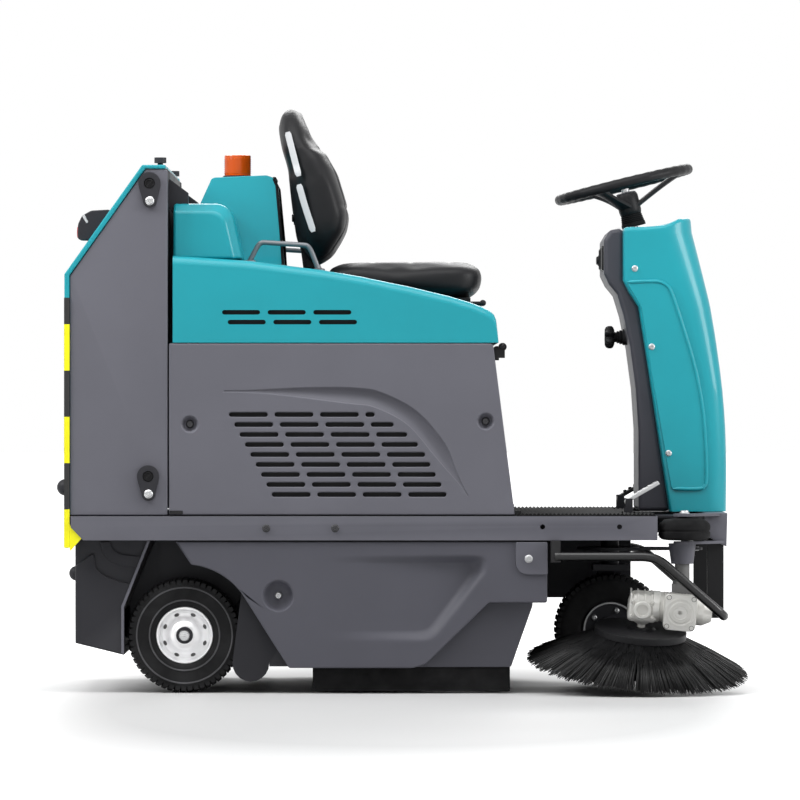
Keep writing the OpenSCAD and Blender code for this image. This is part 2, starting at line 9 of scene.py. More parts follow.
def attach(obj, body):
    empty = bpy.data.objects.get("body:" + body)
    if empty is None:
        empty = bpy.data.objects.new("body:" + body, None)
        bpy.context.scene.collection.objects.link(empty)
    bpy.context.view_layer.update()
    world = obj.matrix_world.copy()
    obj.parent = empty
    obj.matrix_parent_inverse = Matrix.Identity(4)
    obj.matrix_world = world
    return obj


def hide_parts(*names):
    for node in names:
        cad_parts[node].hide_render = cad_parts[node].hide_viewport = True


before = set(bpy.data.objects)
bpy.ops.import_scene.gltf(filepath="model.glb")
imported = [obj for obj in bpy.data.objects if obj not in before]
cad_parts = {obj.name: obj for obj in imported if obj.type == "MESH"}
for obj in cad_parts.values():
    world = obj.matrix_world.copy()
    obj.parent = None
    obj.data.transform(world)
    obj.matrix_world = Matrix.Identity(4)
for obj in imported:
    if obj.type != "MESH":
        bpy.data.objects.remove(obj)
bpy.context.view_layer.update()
random.seed(7)
scene = bpy.context.scene

# Lengths below are millimetres on the machine: X forward, Y to its left from the mid-plane, Z up.
SHIFT = Vector((-7.12, 69.57, 0.0))
HALF = 430.0


def at(x, y, z):
    """The machine's millimetres as metres in the shared frame."""
    return (Vector((x, y, z)) + SHIFT) / 1000.0


# Materials


def linear(rgb):
    """Screen colour values, 0 to 255, as linear ones."""
    return [c / 12.92 if c <= 0.04045 else ((c + 0.055) / 1.055) ** 2.4
            for c in (v / 255.0 for v in rgb)]


def shade(base, k, lift=0.0):
    return [min(1.0, c * k + lift) for c in base]


class Nodes:
    """A material's node tree, with short calls for the nodes used here."""

    def __init__(self, name):
        self.mat = bpy.data.materials.new(name)
        self.mat.use_nodes = True
        self.tree = self.mat.node_tree
        self.bsdf = self.tree.nodes["Principled BSDF"]
        self.coord = self.tree.nodes.new("ShaderNodeTexCoord").outputs["Object"]

    def put(self, value, socket):
        """Links an output to a socket, or sets a constant on it."""
        if hasattr(value, "is_linked"):
            self.tree.links.new(value, socket)
        else:
            socket.default_value = value

    def feed(self, name, value):
        self.put(value, self.bsdf.inputs[name])

    def add(self, kind, **values):
        n = self.tree.nodes.new(kind)
        for key, v in values.items():
            if key in n.inputs:
                self.put(v, n.inputs[key])
            else:
                setattr(n, key, v)
        return n

    def noise(self, scale, detail=4.0, stretch=None):
        source = self.coord
        if stretch:
            source = self.add("ShaderNodeMapping", Scale=stretch, Vector=source).outputs["Vector"]
        return self.add("ShaderNodeTexNoise", Scale=scale, Detail=detail, Vector=source).outputs["Fac"]

    def cells(self, scale):
        n = self.add("ShaderNodeTexVoronoi", Scale=scale, feature="DISTANCE_TO_EDGE", Vector=self.coord)
        return n.outputs["Distance"]

    def ramp(self, fac, lo, hi, a, b):
        ends = {"From Min": lo, "From Max": hi, "To Min": a, "To Max": b}
        return self.add("ShaderNodeMapRange", Value=fac, **ends).outputs["Result"]

    def math(self, op, a, b):
        n = self.add("ShaderNodeMath", operation=op)
        self.put(a, n.inputs[0])
        self.put(b, n.inputs[1])
        return n.outputs["Value"]

    def mix(self, fac, a, b):
        n = self.add("ShaderNodeMix", data_type="RGBA")
        self.put(fac, n.inputs["Factor"])
        for name, v in (("A", a), ("B", b)):
            socket = [i for i in n.inputs if i.name == name and i.type == "RGBA"][0]
            self.put(v if hasattr(v, "is_linked") else (*v, 1.0), socket)
        return [o for o in n.outputs if o.type == "RGBA"][0]

    def bump(self, height, strength, distance):
        n = self.add("ShaderNodeBump", Strength=strength, Distance=distance, Height=height)
        self.feed("Normal", n.outputs["Normal"])

    def rough(self, scale, detail, low, high):
        """A roughness that wanders between two values."""
        self.feed("Roughness", self.ramp(self.noise(scale, detail), 0.3, 0.7, low, high))

    def edges(self):
        """Near 1 along outer edges, 0 elsewhere."""
        g = self.add("ShaderNodeNewGeometry")
        return self.ramp(g.outputs["Pointiness"], 0.515, 0.58, 0.0, 1.0)


def coated(name, rgb, rough, grain, depth, wear_and_edge_highlight, spread=0.06, metal=0.0, coat=0.0, shine=0.25):
    """Paint or moulded plastic: slight cloudiness, fine grain, and paler outer edges that are partly wear
    and partly a painted edge highlight.
    """
    n, base = Nodes(name), linear(rgb)
    clouds = n.ramp(n.noise(6.0, 6.0), 0.35, 0.65, 0, 1)
    cloudy = n.mix(clouds, shade(base, 1 - spread), shade(base, 1 + spread))
    # Paler outer edges: wear, and a painted highlight where edges catch light.
    edge_wear_and_highlight = n.math("MULTIPLY", n.edges(), wear_and_edge_highlight)
    n.feed("Base Color", n.mix(edge_wear_and_highlight, cloudy, shade(base, 1.6, 0.05)))
    n.rough(14.0, 5.0, rough - 0.02, rough + 0.03)
    n.bump(n.noise(grain, 2.0), 0.5, depth)
    n.feed("Metallic", metal)
    n.feed("Specular IOR Level", shine)
    n.feed("Coat Weight", coat)
    return n.mat


def brushed(name, rgb, rough):
    """Bare metal with fine streaks."""
    n, base = Nodes(name), linear(rgb)
    streak = n.noise(1.0, 3.0, (30, 1500, 1500))
    n.feed("Base Color", n.mix(streak, shade(base, 0.8), shade(base, 1.12)))
    n.feed("Roughness", n.ramp(streak, 0.3, 0.7, rough - 0.08, rough + 0.12))
    n.bump(streak, 0.25, 4e-5)
    n.feed("Metallic", 1.0)
    return n.mat


def rubbery(name, rgb, rough=0.75, scale=500.0, shine=0.12):
    """Rubber or nylon with a trace of dust."""
    n, base = Nodes(name), linear(rgb)
    dust = n.ramp(n.noise(18.0, 8.0), 0.45, 0.75, 0.0, 1.0)
    n.feed("Base Color", n.mix(dust, base, shade(base, 1.5, 0.006)))
    n.rough(60.0, 4.0, rough - 0.08, rough + 0.1)
    n.bump(n.noise(scale, 3.0), 0.5, 1e-4)
    n.feed("Specular IOR Level", shine)
    return n.mat


def vinyl(name, rgb):
    """Upholstery with fine pores."""
    n, base = Nodes(name), linear(rgb)
    n.feed("Base Color", n.mix(n.noise(9.0, 5.0), shade(base, 0.9), shade(base, 1.15)))
    pores = n.math("MINIMUM", n.math("MULTIPLY", n.cells(420.0), 6.0), 1.0)
    n.feed("Roughness", n.ramp(pores, 0.0, 1.0, 0.5, 0.42))
    n.bump(n.math("ADD", pores, n.math("MULTIPLY", n.noise(70.0, 3.0), 0.4)), 0.1, 1e-4)
    n.feed("Specular IOR Level", 0.2)
    return n.mat


def hazard(name):
    """Level bands of yellow and black, 100 mm each."""
    n = Nodes(name)
    split = n.add("ShaderNodeSeparateXYZ", Vector=n.coord)
    level = n.math("MULTIPLY", n.math("ADD", split.outputs["Z"], -0.3987), 5.0)
    yellow = n.math("GREATER_THAN", n.math("FRACT", level, 0.0), 0.5)
    scuff = n.ramp(n.noise(40.0, 6.0), 0.35, 0.7, 0.0, 0.35)
    bright = n.mix(scuff, linear((250, 246, 10)), linear((222, 205, 20)))
    n.feed("Base Color", n.mix(yellow, linear((20, 20, 20)), bright))
    n.feed("Roughness", n.ramp(scuff, 0.0, 0.35, 0.32, 0.5))
    n.bump(n.noise(700.0, 2.0), 0.3, 5e-5)
    return n.mat


def lens(name, rgb, rough):
    """Coloured lamp plastic that lets some light through."""
    n, base = Nodes(name), linear(rgb)
    n.feed("Base Color", n.mix(n.noise(30.0, 4.0), shade(base, 0.85), base))
    n.rough(50.0, 3.0, rough, rough + 0.1)
    n.bump(n.noise(300.0, 2.0), 0.2, 5e-5)
    n.feed("Coat Weight", 0.15)
    n.feed("Specular IOR Level", 0.25)
    n.feed("Transmission Weight", 0.15)
    return n.mat


# Coated ones give roughness, grain and its depth, then how much paler the edges are, as wear and painted
# edge highlight
TEAL = coated("teal_plastic", (27, 152, 165), 0.34, 1400, 3e-5, 0.0, spread=0.03, coat=0.2)
GREY = coated("grey_plastic", (100, 100, 108), 0.46, 1100, 8e-5, 0.0, spread=0.03)
# A darker copy of the grey plastic for the skirts: painted shade, since the same plastic gets less light
# low on the machine.
GREY_SHADED = coated("grey_plastic_painted_shade", (80, 80, 88), 0.5, 1100, 8e-5, 0.0, spread=0.03)
GREY_DARK = coated("dark_grey_plastic", (70, 70, 77), 0.46, 1100, 1e-4, 0.0, spread=0.03)
GREY_STEEL = coated("grey_paint", (87, 87, 95), 0.42, 700, 4e-5, 0.35)
DARK = coated("dark_paint", (40, 40, 44), 0.48, 800, 6e-5, 0.3, shine=0.16)
DARK_PLASTIC = coated("dark_plastic", (46, 46, 50), 0.5, 1200, 1e-4, 0.2, shine=0.16)
BLACK = coated("black_plastic", (22, 22, 24), 0.45, 1200, 1e-4, 0.2, shine=0.16)
GLOSS = coated("gloss_black", (16, 16, 17), 0.24, 600, 3e-5, 0.0, shine=0.5)
BLACK_STEEL = coated("black_paint", (20, 20, 22), 0.36, 600, 4e-5, 0.3, shine=0.16)
WHITE = coated("white_paint", (250, 250, 251), 0.3, 700, 4e-5, 0.0, metal=0.6)
FILTER = coated("filter_paper", (233, 232, 226), 0.9, 2500, 3e-4, 0.0)
SCREW = coated("dark_screw", (62, 62, 64), 0.3, 900, 3e-5, 0.4, metal=0.6)
BAR = coated("bar_paint", (112, 115, 119), 0.3, 500, 3e-5, 0.2, metal=0.4)
ALLOY = coated("cast_alloy", (206, 205, 200), 0.45, 420, 2.5e-4, 0.4, spread=0.12, metal=0.35)
CASTING = coated("grey_casting", (104, 104, 104), 0.5, 420, 2e-4, 0.2, spread=0.12, metal=0.2)
TRIM = coated("trim_strip", (196, 197, 199), 0.4, 500, 5e-5, 0.0, spread=0.05)
STEEL = brushed("zinc_steel", (186, 187, 188), 0.4)
CHROME = brushed("bright_steel", (205, 206, 207), 0.25)
RUBBER = rubbery("black_rubber", (17, 17, 18))
TYRE = rubbery("tyre_rubber", (24, 24, 25), rough=0.62, scale=350)
# A paler copy of the tyre rubber for the wall rings: painted highlight on the ridges.
TYRE_HIGHLIGHT = rubbery("tyre_rubber_painted_highlight", (74, 74, 76), rough=0.5, scale=350)
BRISTLE = rubbery("bristle_nylon", (18, 18, 19), rough=0.36, scale=900, shine=0.3)
VINYL = vinyl("black_vinyl", (22, 22, 24))
HAZARD = hazard("hazard_bands")
AMBER = lens("amber_lens", (232, 92, 18), 0.18)
RED = lens("red_lens", (168, 14, 12), 0.15)

# Lines, frames and outlines


def posed(place, degrees=0.0, axis="Y"):
    """A frame at a place, turned about one axis."""
    return Matrix.Translation(place) @ Matrix.Rotation(radians(degrees), 4, axis)


def axis_y(x, y, z):
    """A frame whose own Z points to the machine's right, -Y."""
    return posed((x, y, z), 90, "X")


def around(n):
    """n equal angles of a full turn."""
    return [2 * pi * k / n for k in range(n)]


def polar(r, angle, h):
    return Vector((r * cos(angle), r * sin(angle), h))


def ease(t):
    return t * t * (3 - 2 * t)


def between(v, table, soft=0.0):
    """A value from a table of (key, value) pairs; soft eases the way from one to the next."""
    if v <= table[0][0]:
        return table[0][1]
    for (a, p), (b, q) in zip(table, table[1:]):
        if v <= b:
            t = (v - a) / (b - a)
            return p + (q - p) * (ease(t) * soft + t * (1 - soft))
    return table[-1][1]


def heading(pts, i):
    """The direction of a line of points at point i."""
    return (pts[min(i + 1, len(pts) - 1)] - pts[max(i - 1, 0)]).normalized()


def smooth_path(points, steps=8):
    """Catmull-Rom through the points."""
    pts = [Vector(p) for p in points]
    ext = [pts[0] * 2 - pts[1]] + pts + [pts[-1] * 2 - pts[-2]]
    out = []
    for i in range(1, len(ext) - 2):
        p0, p1, p2, p3 = ext[i - 1 : i + 3]
        for s in range(steps):
            t = s / steps
            out.append(0.5 * (2 * p1 + (p2 - p0) * t + (2 * p0 - 5 * p1 + 4 * p2 - p3) * t * t
                              + (3 * p1 - p0 - 3 * p2 + p3) * t ** 3))
    return out + [pts[-1]]


def round_corners(outline, radii, steps=5):
    """Rounds a polygon's corners; radii is one number or one per corner."""
    n = len(outline)
    out = []
    for i in range(n):
        p, a, b = Vector(outline[i]), Vector(outline[i - 1]), Vector(outline[(i + 1) % n])
        r = radii[i] if isinstance(radii, (list, tuple)) else radii
        u, v = a - p, b - p
        if r > 0 and u.length > 1e-6 and v.length > 1e-6:
            half = u.angle(v) / 2
            d = min(r / tan(half), u.length * 0.49, v.length * 0.49)
            if d >= 0.2 and pi / 2 - half >= 0.02:
                s, e = p + u.normalized() * d, p + v.normalized() * d
                out += [tuple(s * (1 - t) ** 2 + p * 2 * t * (1 - t) + e * t * t)
                        for t in [k / steps for k in range(steps + 1)]]
                continue
        out.append(tuple(p))
    return out


def soft_box(x0, x1, z0, z1, radii):
    return round_corners([(x0, z0), (x1, z0), (x1, z1), (x0, z1)], radii)


def arc(cx, cz, r, a0, a1, n):
    angles = [radians(a0 + (a1 - a0) * i / n) for i in range(n + 1)]
    return [(cx + r * cos(a), cz + r * sin(a)) for a in angles]


def slot_loop(x0, x1, z, h, n=5):
    """A level slot with round ends."""
    r = h / 2
    return arc(x1 - r, z, r, -90, 90, n) + arc(x0 + r, z, r, 90, 270, n)


def circle_loop(x, z, r, n):
    return [(x + r * cos(a), z + r * sin(a)) for a in around(n)]


# Objects and meshes


def show(name, data):
    ob = bpy.data.objects.new(name, data)
    scene.collection.objects.link(ob)
    return ob


def modify(ob, kind, **values):
    m = ob.modifiers.new(kind.lower(), kind)
    for key, v in values.items():
        setattr(m, key, v)
    return m


def soften(ob, width, segments, angle):
    """Rounded edges, in millimetres, on edges sharper than the angle."""
    modify(ob, "BEVEL", width=width / 1000.0, segments=segments, limit_method="ANGLE",
           angle_limit=radians(angle))
    modify(ob, "WEIGHTED_NORMAL", keep_sharp=True)


def piece(name, mesh, mat, body="chassis", slot=None, stands=None, angle=35, bevel=0.0, segments=3,
          even=False, flats=False):
    """Shows a mesh as a piece that rides on a body and may stand for a CAD node."""
    mesh.materials.clear()
    mesh.materials.append(mat)
    mesh.shade_smooth()
    mesh.set_sharp_from_angle(angle=radians(angle))
    if flats:
        normals = [Vector(c.vector) for c in mesh.corner_normals]
        for poly in mesh.polygons:
            if abs(poly.normal.y) > 0.9995:
                for i in poly.loop_indices:
                    normals[i] = poly.normal.copy()
        mesh.normals_split_custom_set(normals)
    ob = show(name, mesh)
    if bevel:
        soften(ob, bevel, segments, angle)
    elif even:
        modify(ob, "WEIGHTED_NORMAL", keep_sharp=True)
    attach(ob, body)
    if stands:
        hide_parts(stands)
    return ob


def clean(mesh, gap):
    """Joins points closer than the gap and turns all faces outwards."""
    bm = bmesh.new()
    bm.from_mesh(mesh)
    bmesh.ops.remove_doubles(bm, verts=bm.verts, dist=gap)
    bmesh.ops.recalc_face_normals(bm, faces=bm.faces)
    bm.to_mesh(mesh)
    bm.free()
    return mesh


def evaluated(data, build=None):
    """The mesh of a curve, or of a mesh after the modifiers that build adds to it."""
    ob = show("work", data)
    if build:
        build(ob)
    out = bpy.data.meshes.new_from_object(ob.evaluated_get(bpy.context.evaluated_depsgraph_get()))
    bpy.data.objects.remove(ob)
    return out


class Shape:
    """Collects vertices and faces of one piece, in millimetres."""

    def __init__(self):
        self.v, self.f = [], []

    def add(self, verts, faces):
        k = len(self.v)
        self.v += [tuple(p) for p in verts]
        self.f += [tuple(i + k for i in f) for f in faces]
        return self

    def prism(self, outline, y0, y1):
        """A side-view outline drawn out from y0 to y1."""
        n = len(outline)
        verts = [(x, y, z) for y in (y0, y1) for x, z in outline]
        faces = [tuple(range(n)), tuple(range(2 * n - 1, n - 1, -1))]
        return self.add(verts, faces + [(i, (i + 1) % n, n + (i + 1) % n, n + i) for i in range(n)])

    def block(self, x0, x1, y0, y1, z0, z1):
        return self.prism([(x0, z0), (x1, z0), (x1, z1), (x0, z1)], y0, y1)

    def loft(self, rings, closed=True, caps=True):
        """Joins rings of equal length; each ring is a list of points."""
        n, last = len(rings[0]), len(rings) - 1
        faces = []
        for r in range(last):
            for i in range(n if closed else n - 1):
                j = (i + 1) % n
                faces.append((r * n + i, r * n + j, (r + 1) * n + j, (r + 1) * n + i))
        if caps:
            faces += [tuple(range(n)), tuple(range((last + 1) * n - 1, last * n - 1, -1))]
        return self.add([p for r in rings for p in r], faces)

    def sheet(self, rows):
        """Joins open rows of points, without ends."""
        return self.loft(rows, closed=False, caps=False)

    def turn(self, profile, f, n=48):
        """Turns (radius, height) pairs about the Z of frame f."""
        return self.loft([[f @ polar(r, a, h) for a in around(n)] for r, h in profile], caps=False)

    def tube(self, path, r, n=12, closed=False):
        """A round bar along a path; r is one radius or one per point."""
        pts = [Vector(p) for p in path]
        rings, up = [], None
        for i, p in enumerate(pts):
            a = pts[i - 1] if i or closed else p
            b = pts[(i + 1) % len(pts)] if i + 1 < len(pts) or closed else p
            d = (b - a).normalized()
            if up is None:
                up = d.orthogonal().normalized()
            up = (up - d * up.dot(d)).normalized()
            side = d.cross(up)
            rad = r[i] if isinstance(r, (list, tuple)) else r
            rings.append([p + (up * cos(t) + side * sin(t)) * rad for t in around(n)])
        if closed:
            rings.append(rings[0])
        return self.loft(rings, caps=not closed)

    def strand(self, pts, r0, r1):
        """A thin three-sided strand along a few points, tapering."""
        rings = []
        for i, p in enumerate(pts):
            d = heading(pts, i)
            side = d.orthogonal().normalized()
            up = d.cross(side)
            r = r0 + (r1 - r0) * i / (len(pts) - 1)
            rings.append([p + (side * cos(a) + up * sin(a)) * r for a in (0, 2.0944, 4.1888)])
        self.loft(rings)

    def slab(self, f, outline, levels):
        """A soft-edged slab: the outline scaled about its middle at each (scale, height) of f."""
        cx, cy = (sum(q[i] for q in outline) / len(outline) for i in (0, 1))
        return self.loft([[f @ Vector((cx + (x - cx) * k, cy + (y - cy) * k, h)) for x, y in outline]
                          for k, h in levels])

    def lobed(self, f, r, wave, lobes, n, levels):
        """A knob with a wavy outline, scaled at each (height, scale) of frame f."""
        self.loft([[f @ polar((r + wave * cos(lobes * b)) * k, b, h) for b in around(n)]
                   for h, k in levels])

    def cup(self, x, z, r, depth):
        """A dished recess behind a round hole in a side panel."""
        bowl = [(r + 1.5, -1.0), (r - 1, -2.0), (r * 0.9, -depth * 0.45), (r * 0.74, -depth * 0.85),
                (r * 0.55, -depth), (0.5, -depth)]
        return self.turn(bowl, axis_y(x, -HALF, z), 36)

    def bolt(self, f, r, h):
        """A flanged head with a hex socket, standing on the plane of f."""
        self.turn([(r * 1.25, 0), (r * 1.25, h * 0.22), (r * 1.08, h * 0.34)], f, 24)
        self.turn([(r * 1.08, h * 0.34), (r, h * 0.5), (r * 0.92, h * 0.92), (r * 0.8, h), (r * 0.5, h)],
                  f, 24)
        return self.turn([(r * 0.5, h), (r * 0.46, h * 0.45), (0.2, h * 0.45)], f, 6)

    def moved(self, f):
        out = Shape()
        out.v = [tuple(f @ Vector(p)) for p in self.v]
        out.f = list(self.f)
        return out

    def mirrored(self):
        out = Shape()
        out.v = [(x, -y, z) for x, y, z in self.v]
        out.f = [tuple(reversed(f)) for f in self.f]
        return out

    def both(self):
        m = self.mirrored()
        return self.add(m.v, m.f)

    def mesh(self, name):
        mesh = bpy.data.meshes.new(name)
        mesh.from_pydata([at(*v) for v in self.v], [], self.f)
        return clean(mesh, 1e-6)

    def less(self, tool, name):
        """This shape's mesh with the tool's volume cut away."""
        cutter = show("cut_tool", tool.mesh("cut_tool"))
        out = evaluated(self.mesh(name), lambda ob: modify(
            ob, "BOOLEAN", operation="DIFFERENCE", solver="EXACT", object=cutter))
        bpy.data.objects.remove(cutter)
        return out

    def make(self, name, mat, body="chassis", **kw):
        return piece(name, self.mesh(name), mat, body, **kw)

    def rear_pair(self, name, mat, node=None, **kw):
        """This piece on the right rear wheel and, mirrored, on the left one."""
        for side, shape in (("right_", self), ("left_", self.mirrored())):
            shape.make(side + name, mat, side + "wheel", stands=node and side + node, **kw)


def plate_mesh(loops, y_outer, thick, lip):
    """A flat sheet on the right side with holes and rounded lips; loops are (x, z) outlines."""
    curve = bpy.data.curves.new("plate", "CURVE")
    curve.dimensions = "2D"
    curve.fill_mode = "BOTH"
    curve.extrude = (thick / 2 - lip) / 1000.0
    curve.bevel_depth = lip / 1000.0
    curve.bevel_resolution = 2
    curve.offset = -lip / 1000.0
    for k, loop in enumerate(loops):
        area = sum(a[0] * b[1] - b[0] * a[1] for a, b in zip(loop, loop[1:] + loop[:1]))
        line = curve.splines.new("POLY")
        line.points.add(len(loop) - 1)
        for q, (x, z) in zip(line.points, loop if (area > 0) == (k == 0) else loop[::-1]):
            q.co = (x / 1000.0, z / 1000.0, 0, 1)
        line.use_cyclic_u = True
    mesh = evaluated(curve)
    bpy.data.curves.remove(curve)
    upright = Matrix(((1, 0, 0, 0), (0, 0, -1, 0), (0, 1, 0, 0), (0, 0, 0, 1)))
    mesh.transform(Matrix.Translation(at(0, y_outer + thick / 2, 0)) @ upright)
    return clean(mesh, 2e-6)


def mirror_mesh(mesh):
    """A copy of a mesh on the other side of the machine's mid-plane."""
    m = mesh.copy()
    m.transform(Matrix.Translation((0, 2 * SHIFT.y / 1000.0, 0)) @ Matrix.Scale(-1, 4, (0, 1, 0)))
    m.flip_normals()
    return m


def paired(name, mesh, mat, node=None, body="chassis", **kw):
    """The same mesh on the right and, mirrored, on the left."""
    for side, m in (("right_", mesh), ("left_", mirror_mesh(mesh))):
        piece(side + name, m, mat, body.replace("*_", side), stands=node and side + node, **kw)


# Side covers: louvres, a swept groove and sunk screws

COVER = round_corners([(-499, 387), (248, 387), (201, 757), (-499, 757)], [3, 5, 10, 3])
COVER_SCREWS, SCREW_R, SCREW_DEEP = ((-454, 583), (185, 589)), 18, 14
ROW_ENDS = (-54.6, -13.8, 15.6, 38.4, 54.4, 65.4, 77.1, 89.4, 100.4)
ROW_TOP, ROW_STEP, ROW_START, ROW_LEAN = 603.5, 21.6, -369.6, 11.56
SLOT_LONG, SLOT_HIGH, SLOT_PITCH, SLOT_LEAST = 84.0, 9.7, 98.3, 18
GROOVE_WIDE, GROOVE_DEEP, GROOVE_FADE, GROOVE_SLOPE = 34, 13, 0.3, 0.28
GROOVE = ((-380, 654), (-237, 652), (-101, 644), (-47, 635), (24, 598), (78, 538), (112, 484), (147, 428))
PANEL_THICK = 7


def louvre_loops():
    loops = []
    for i, end in enumerate(ROW_ENDS):
        for j in range(4):
            x0 = ROW_START + ROW_LEAN * i + SLOT_PITCH * j
            x1 = min(x0 + SLOT_LONG, end)
            if x1 - x0 > SLOT_LEAST:
                loops.append(slot_loop(x0, x1, ROW_TOP - ROW_STEP * i, SLOT_HIGH))
    return loops


def swept_groove():
    """Hole and bed of a groove that fades at both ends and drops more steeply along one edge."""
    pts = smooth_path(GROOVE)
    left, right, rows = [], [], []
    for i, p in enumerate(pts):
        t = i / (len(pts) - 1)
        k = ease(min(1.0, t / GROOVE_FADE, (1 - t) / GROOVE_FADE))
        d = heading(pts, i)
        side = Vector((-d.y, d.x)) * max(0.8, GROOVE_WIDE / 2 * k)
        a, b = p + side, p - side
        left.append(tuple(a))
        right.append(tuple(b))
        a = a + (a - b).normalized() * 2.0
        b = b + (b - a).normalized() * 2.0
        section = ((0, 0.12), (GROOVE_SLOPE * 0.5, 0.75), (GROOVE_SLOPE, 1.0), (0.72, 0.62), (1, 0.12))
        rows.append([(q.x, -HALF + 1.0 + GROOVE_DEEP * depth * max(k, 0.05), q.y)
                     for q, depth in ((a.lerp(b, s), depth) for s, depth in section)])
    return left + right[::-1], rows


groove_hole, groove_rows = swept_groove()
loops = [COVER, groove_hole] + louvre_loops() + [circle_loop(x, z, SCREW_R, 32) for x, z in COVER_SCREWS]
paired("cover_panel", plate_mesh(loops, -HALF, PANEL_THICK, 2.4), GREY, "side_cover", even=True)
bed = Shape().sheet(groove_rows)
for x, z in COVER_SCREWS:
    bed.cup(x, z, SCREW_R, SCREW_DEEP)
bed.both().make("cover_grooves", GREY, angle=60)
# Black sheets behind the louvres: painted shade seen through the slots.
louvre_shade_sheet = Shape().prism([(-400, 395), (150, 395), (110, 625), (-400, 625)], -412, -410)
louvre_shade_sheet.both().make("cover_louvre_shade_sheets", BLACK, bevel=0.5)

# Skirts: arch, sunk bolt and a tapered pocket

REAR_X, WHEEL_Z = -467, 125
SKIRT = round_corners([(-487, 329), (318, 329), (318, 197), (192, 197), (55, 64), (28, 56), (-240, 56),
                       (-345, 222)], [2, 4, 6, 10, 22, 22, 8, 40]) + arc(REAR_X, WHEEL_Z, 155, 40, 84, 10)
SKIRT_BOLT, SKIRT_CUP_R, SKIRT_CUP_DEEP = (-263, 212), 33, 23
POCKET_LEFT, POCKET_DEEP, POCKET_RUN, POCKET_BORDER = -190.0, 24.5, 340.0, 8
POCKET = round_corners([(POCKET_LEFT, 300), (186, 300), (190, 262), (74, 113), (POCKET_LEFT, 113)],
                       [0, 12, 20, 14, 0])
loops = [SKIRT, POCKET, circle_loop(*SKIRT_BOLT, SKIRT_CUP_R, 36)]
# The skirt panels in the darker grey copy: painted shade.
paired("skirt_panel", plate_mesh(loops, -HALF, PANEL_THICK, 2.8), GREY_SHADED, "skirt", even=True)


def stepped(points, counts):
    """Points along a bent line, with that many steps on each stretch and its bends eased."""
    line = [Vector(points[0])]
    for a, b, n in zip(points, points[1:], counts):
        line += [Vector(a).lerp(Vector(b), k / n) for k in range(1, n + 1)]
    for _ in range(4):
        middle = [(a + b * 2 + c) / 4 for a, b, c in zip(line, line[1:], line[2:])]
        line = [line[0]] + middle + [line[-1]]
    return line


def pocket_bed():
    """A pocket that starts flush at its left and deepens to the right, on a border over the lip."""
    top = stepped([(POCKET_LEFT, 300), (184, 300), (190, 284)], (36, 4))
    low = stepped([(POCKET_LEFT, 113), (74, 113), (190, 264)], (24, 16))
    floor_top = stepped([(POCKET_LEFT, 280), (148, 280), (154, 272)], (36, 4))
    floor_low = stepped([(POCKET_LEFT, 138), (56, 138), (154, 264)], (24, 16))

    def sunk(p, t):
        u = max(0.0, (p.x - POCKET_LEFT) / POCKET_RUN)
        return (p.x, -HALF - 0.15 + POCKET_DEEP * u * u * (1.8 - 0.8 * u) * ease(t), p.y)

    steps = [k / 8.0 for k in range(9)]
    rows = []
    for a, b, c, d in zip(top, floor_top, floor_low, low):
        over, under = (a - b).normalized() * POCKET_BORDER, (d - c).normalized() * POCKET_BORDER
        rows.append([sunk(a + over, 0.0)] + [sunk(a.lerp(b, t), t) for t in steps]
                    + [sunk(b.lerp(c, k / 6.0), 1.0) for k in range(1, 6)]
                    + [sunk(c.lerp(d, 1 - t), t) for t in reversed(steps)] + [sunk(d + under, 0.0)])
    shape = Shape().sheet([[(x - POCKET_BORDER, y, z) for x, y, z in rows[0]]] + rows)
    end = rows[-1]
    return shape.sheet([[end[k], end[-1 - k]] for k in range(11)])


# The pocket and the cups in the same darker grey: painted shade.
pocket_bed().both().make("skirt_pockets", GREY_SHADED, angle=60)
Shape().cup(*SKIRT_BOLT, SKIRT_CUP_R, SKIRT_CUP_DEEP).both().make("skirt_cups", GREY_SHADED, angle=50)
strip = Shape().block(-480, 316, -423, -420, 318, 344).block(-497, 262, -421, -417, 378, 396)
strip.both().make("skirt_backs", BLACK, slot="black_steel", bevel=0.5)
bracket = Shape().prism(soft_box(250, 319, 258, 328, [30, 4, 4, 4]), -HALF - 6, -HALF)
bracket.both().make("skirt_brackets", GREY_STEEL, bevel=1.2)
BOX_SIDE = round_corners([(-189, 57), (240, 57), (287, 190), (287, 322), (-189, 322)], [2, 8, 12, 2, 2])
Shape().prism(BOX_SIDE, -404, -400.5).both().make("brush_box_sides", GREY_DARK, bevel=1.2)
flap = Shape().prism(soft_box(-189, 238, 5, 72, 2), -400.2, -396)
flap.both().make("flap_strips", RUBBER, stands="dust_flaps", bevel=1.2)

# Bolts and screws

bolts, screws = Shape(), Shape()
for x, z in COVER_SCREWS:
    screws.bolt(axis_y(x, -HALF + SCREW_DEEP, z), 7, 8)
for x in (-289, -140):
    screws.bolt(axis_y(x, -436, 358), 7, 4.5)
screws.both().make("dark_screws", SCREW)
bolts.bolt(axis_y(SKIRT_BOLT[0], -HALF + SKIRT_CUP_DEEP, SKIRT_BOLT[1]), 7, 9)
bolts.bolt(axis_y(278, -HALF - 6, 292), 7, 5)
for x, z, y in ((516, 924, -200), (553, 752, -203.5), (590, 518, -203.5)):
    bolts.bolt(axis_y(x, y, z), 5.5, 3.5)
bolts.bolt(posed((616, -398, 389)), 9, 7)
bolts.both().make("bolts", STEEL, stands="fasteners")

# Hood

HOOD_TOP = ((-491, 947), (-326, 936), (-168, 916), (-86, 902), (20, 880), (104, 860), (150, 846.5),
            (178, 836), (194, 828), (203, 820), (208, 808), (211, 785), (213, 760))
HOOD_SILL, HOOD_EDGE_R, HOOD_THICK, HOOD_INNER_END = 759.0, 18.0, 5, 207
WELL_Z, ARM_END, ARM_INNER_Y = 840.0, -341, -384.0
FLAT_STATIONS = (ARM_END, -320, -290, -246)
WELL_STATIONS = (-245, -215, -168, -120, -86, -40, 20, 60, 104, 130, 150, 165, 178, 186, 194, 199, 203,
                 206, 208, 210, 211, 212, 213)


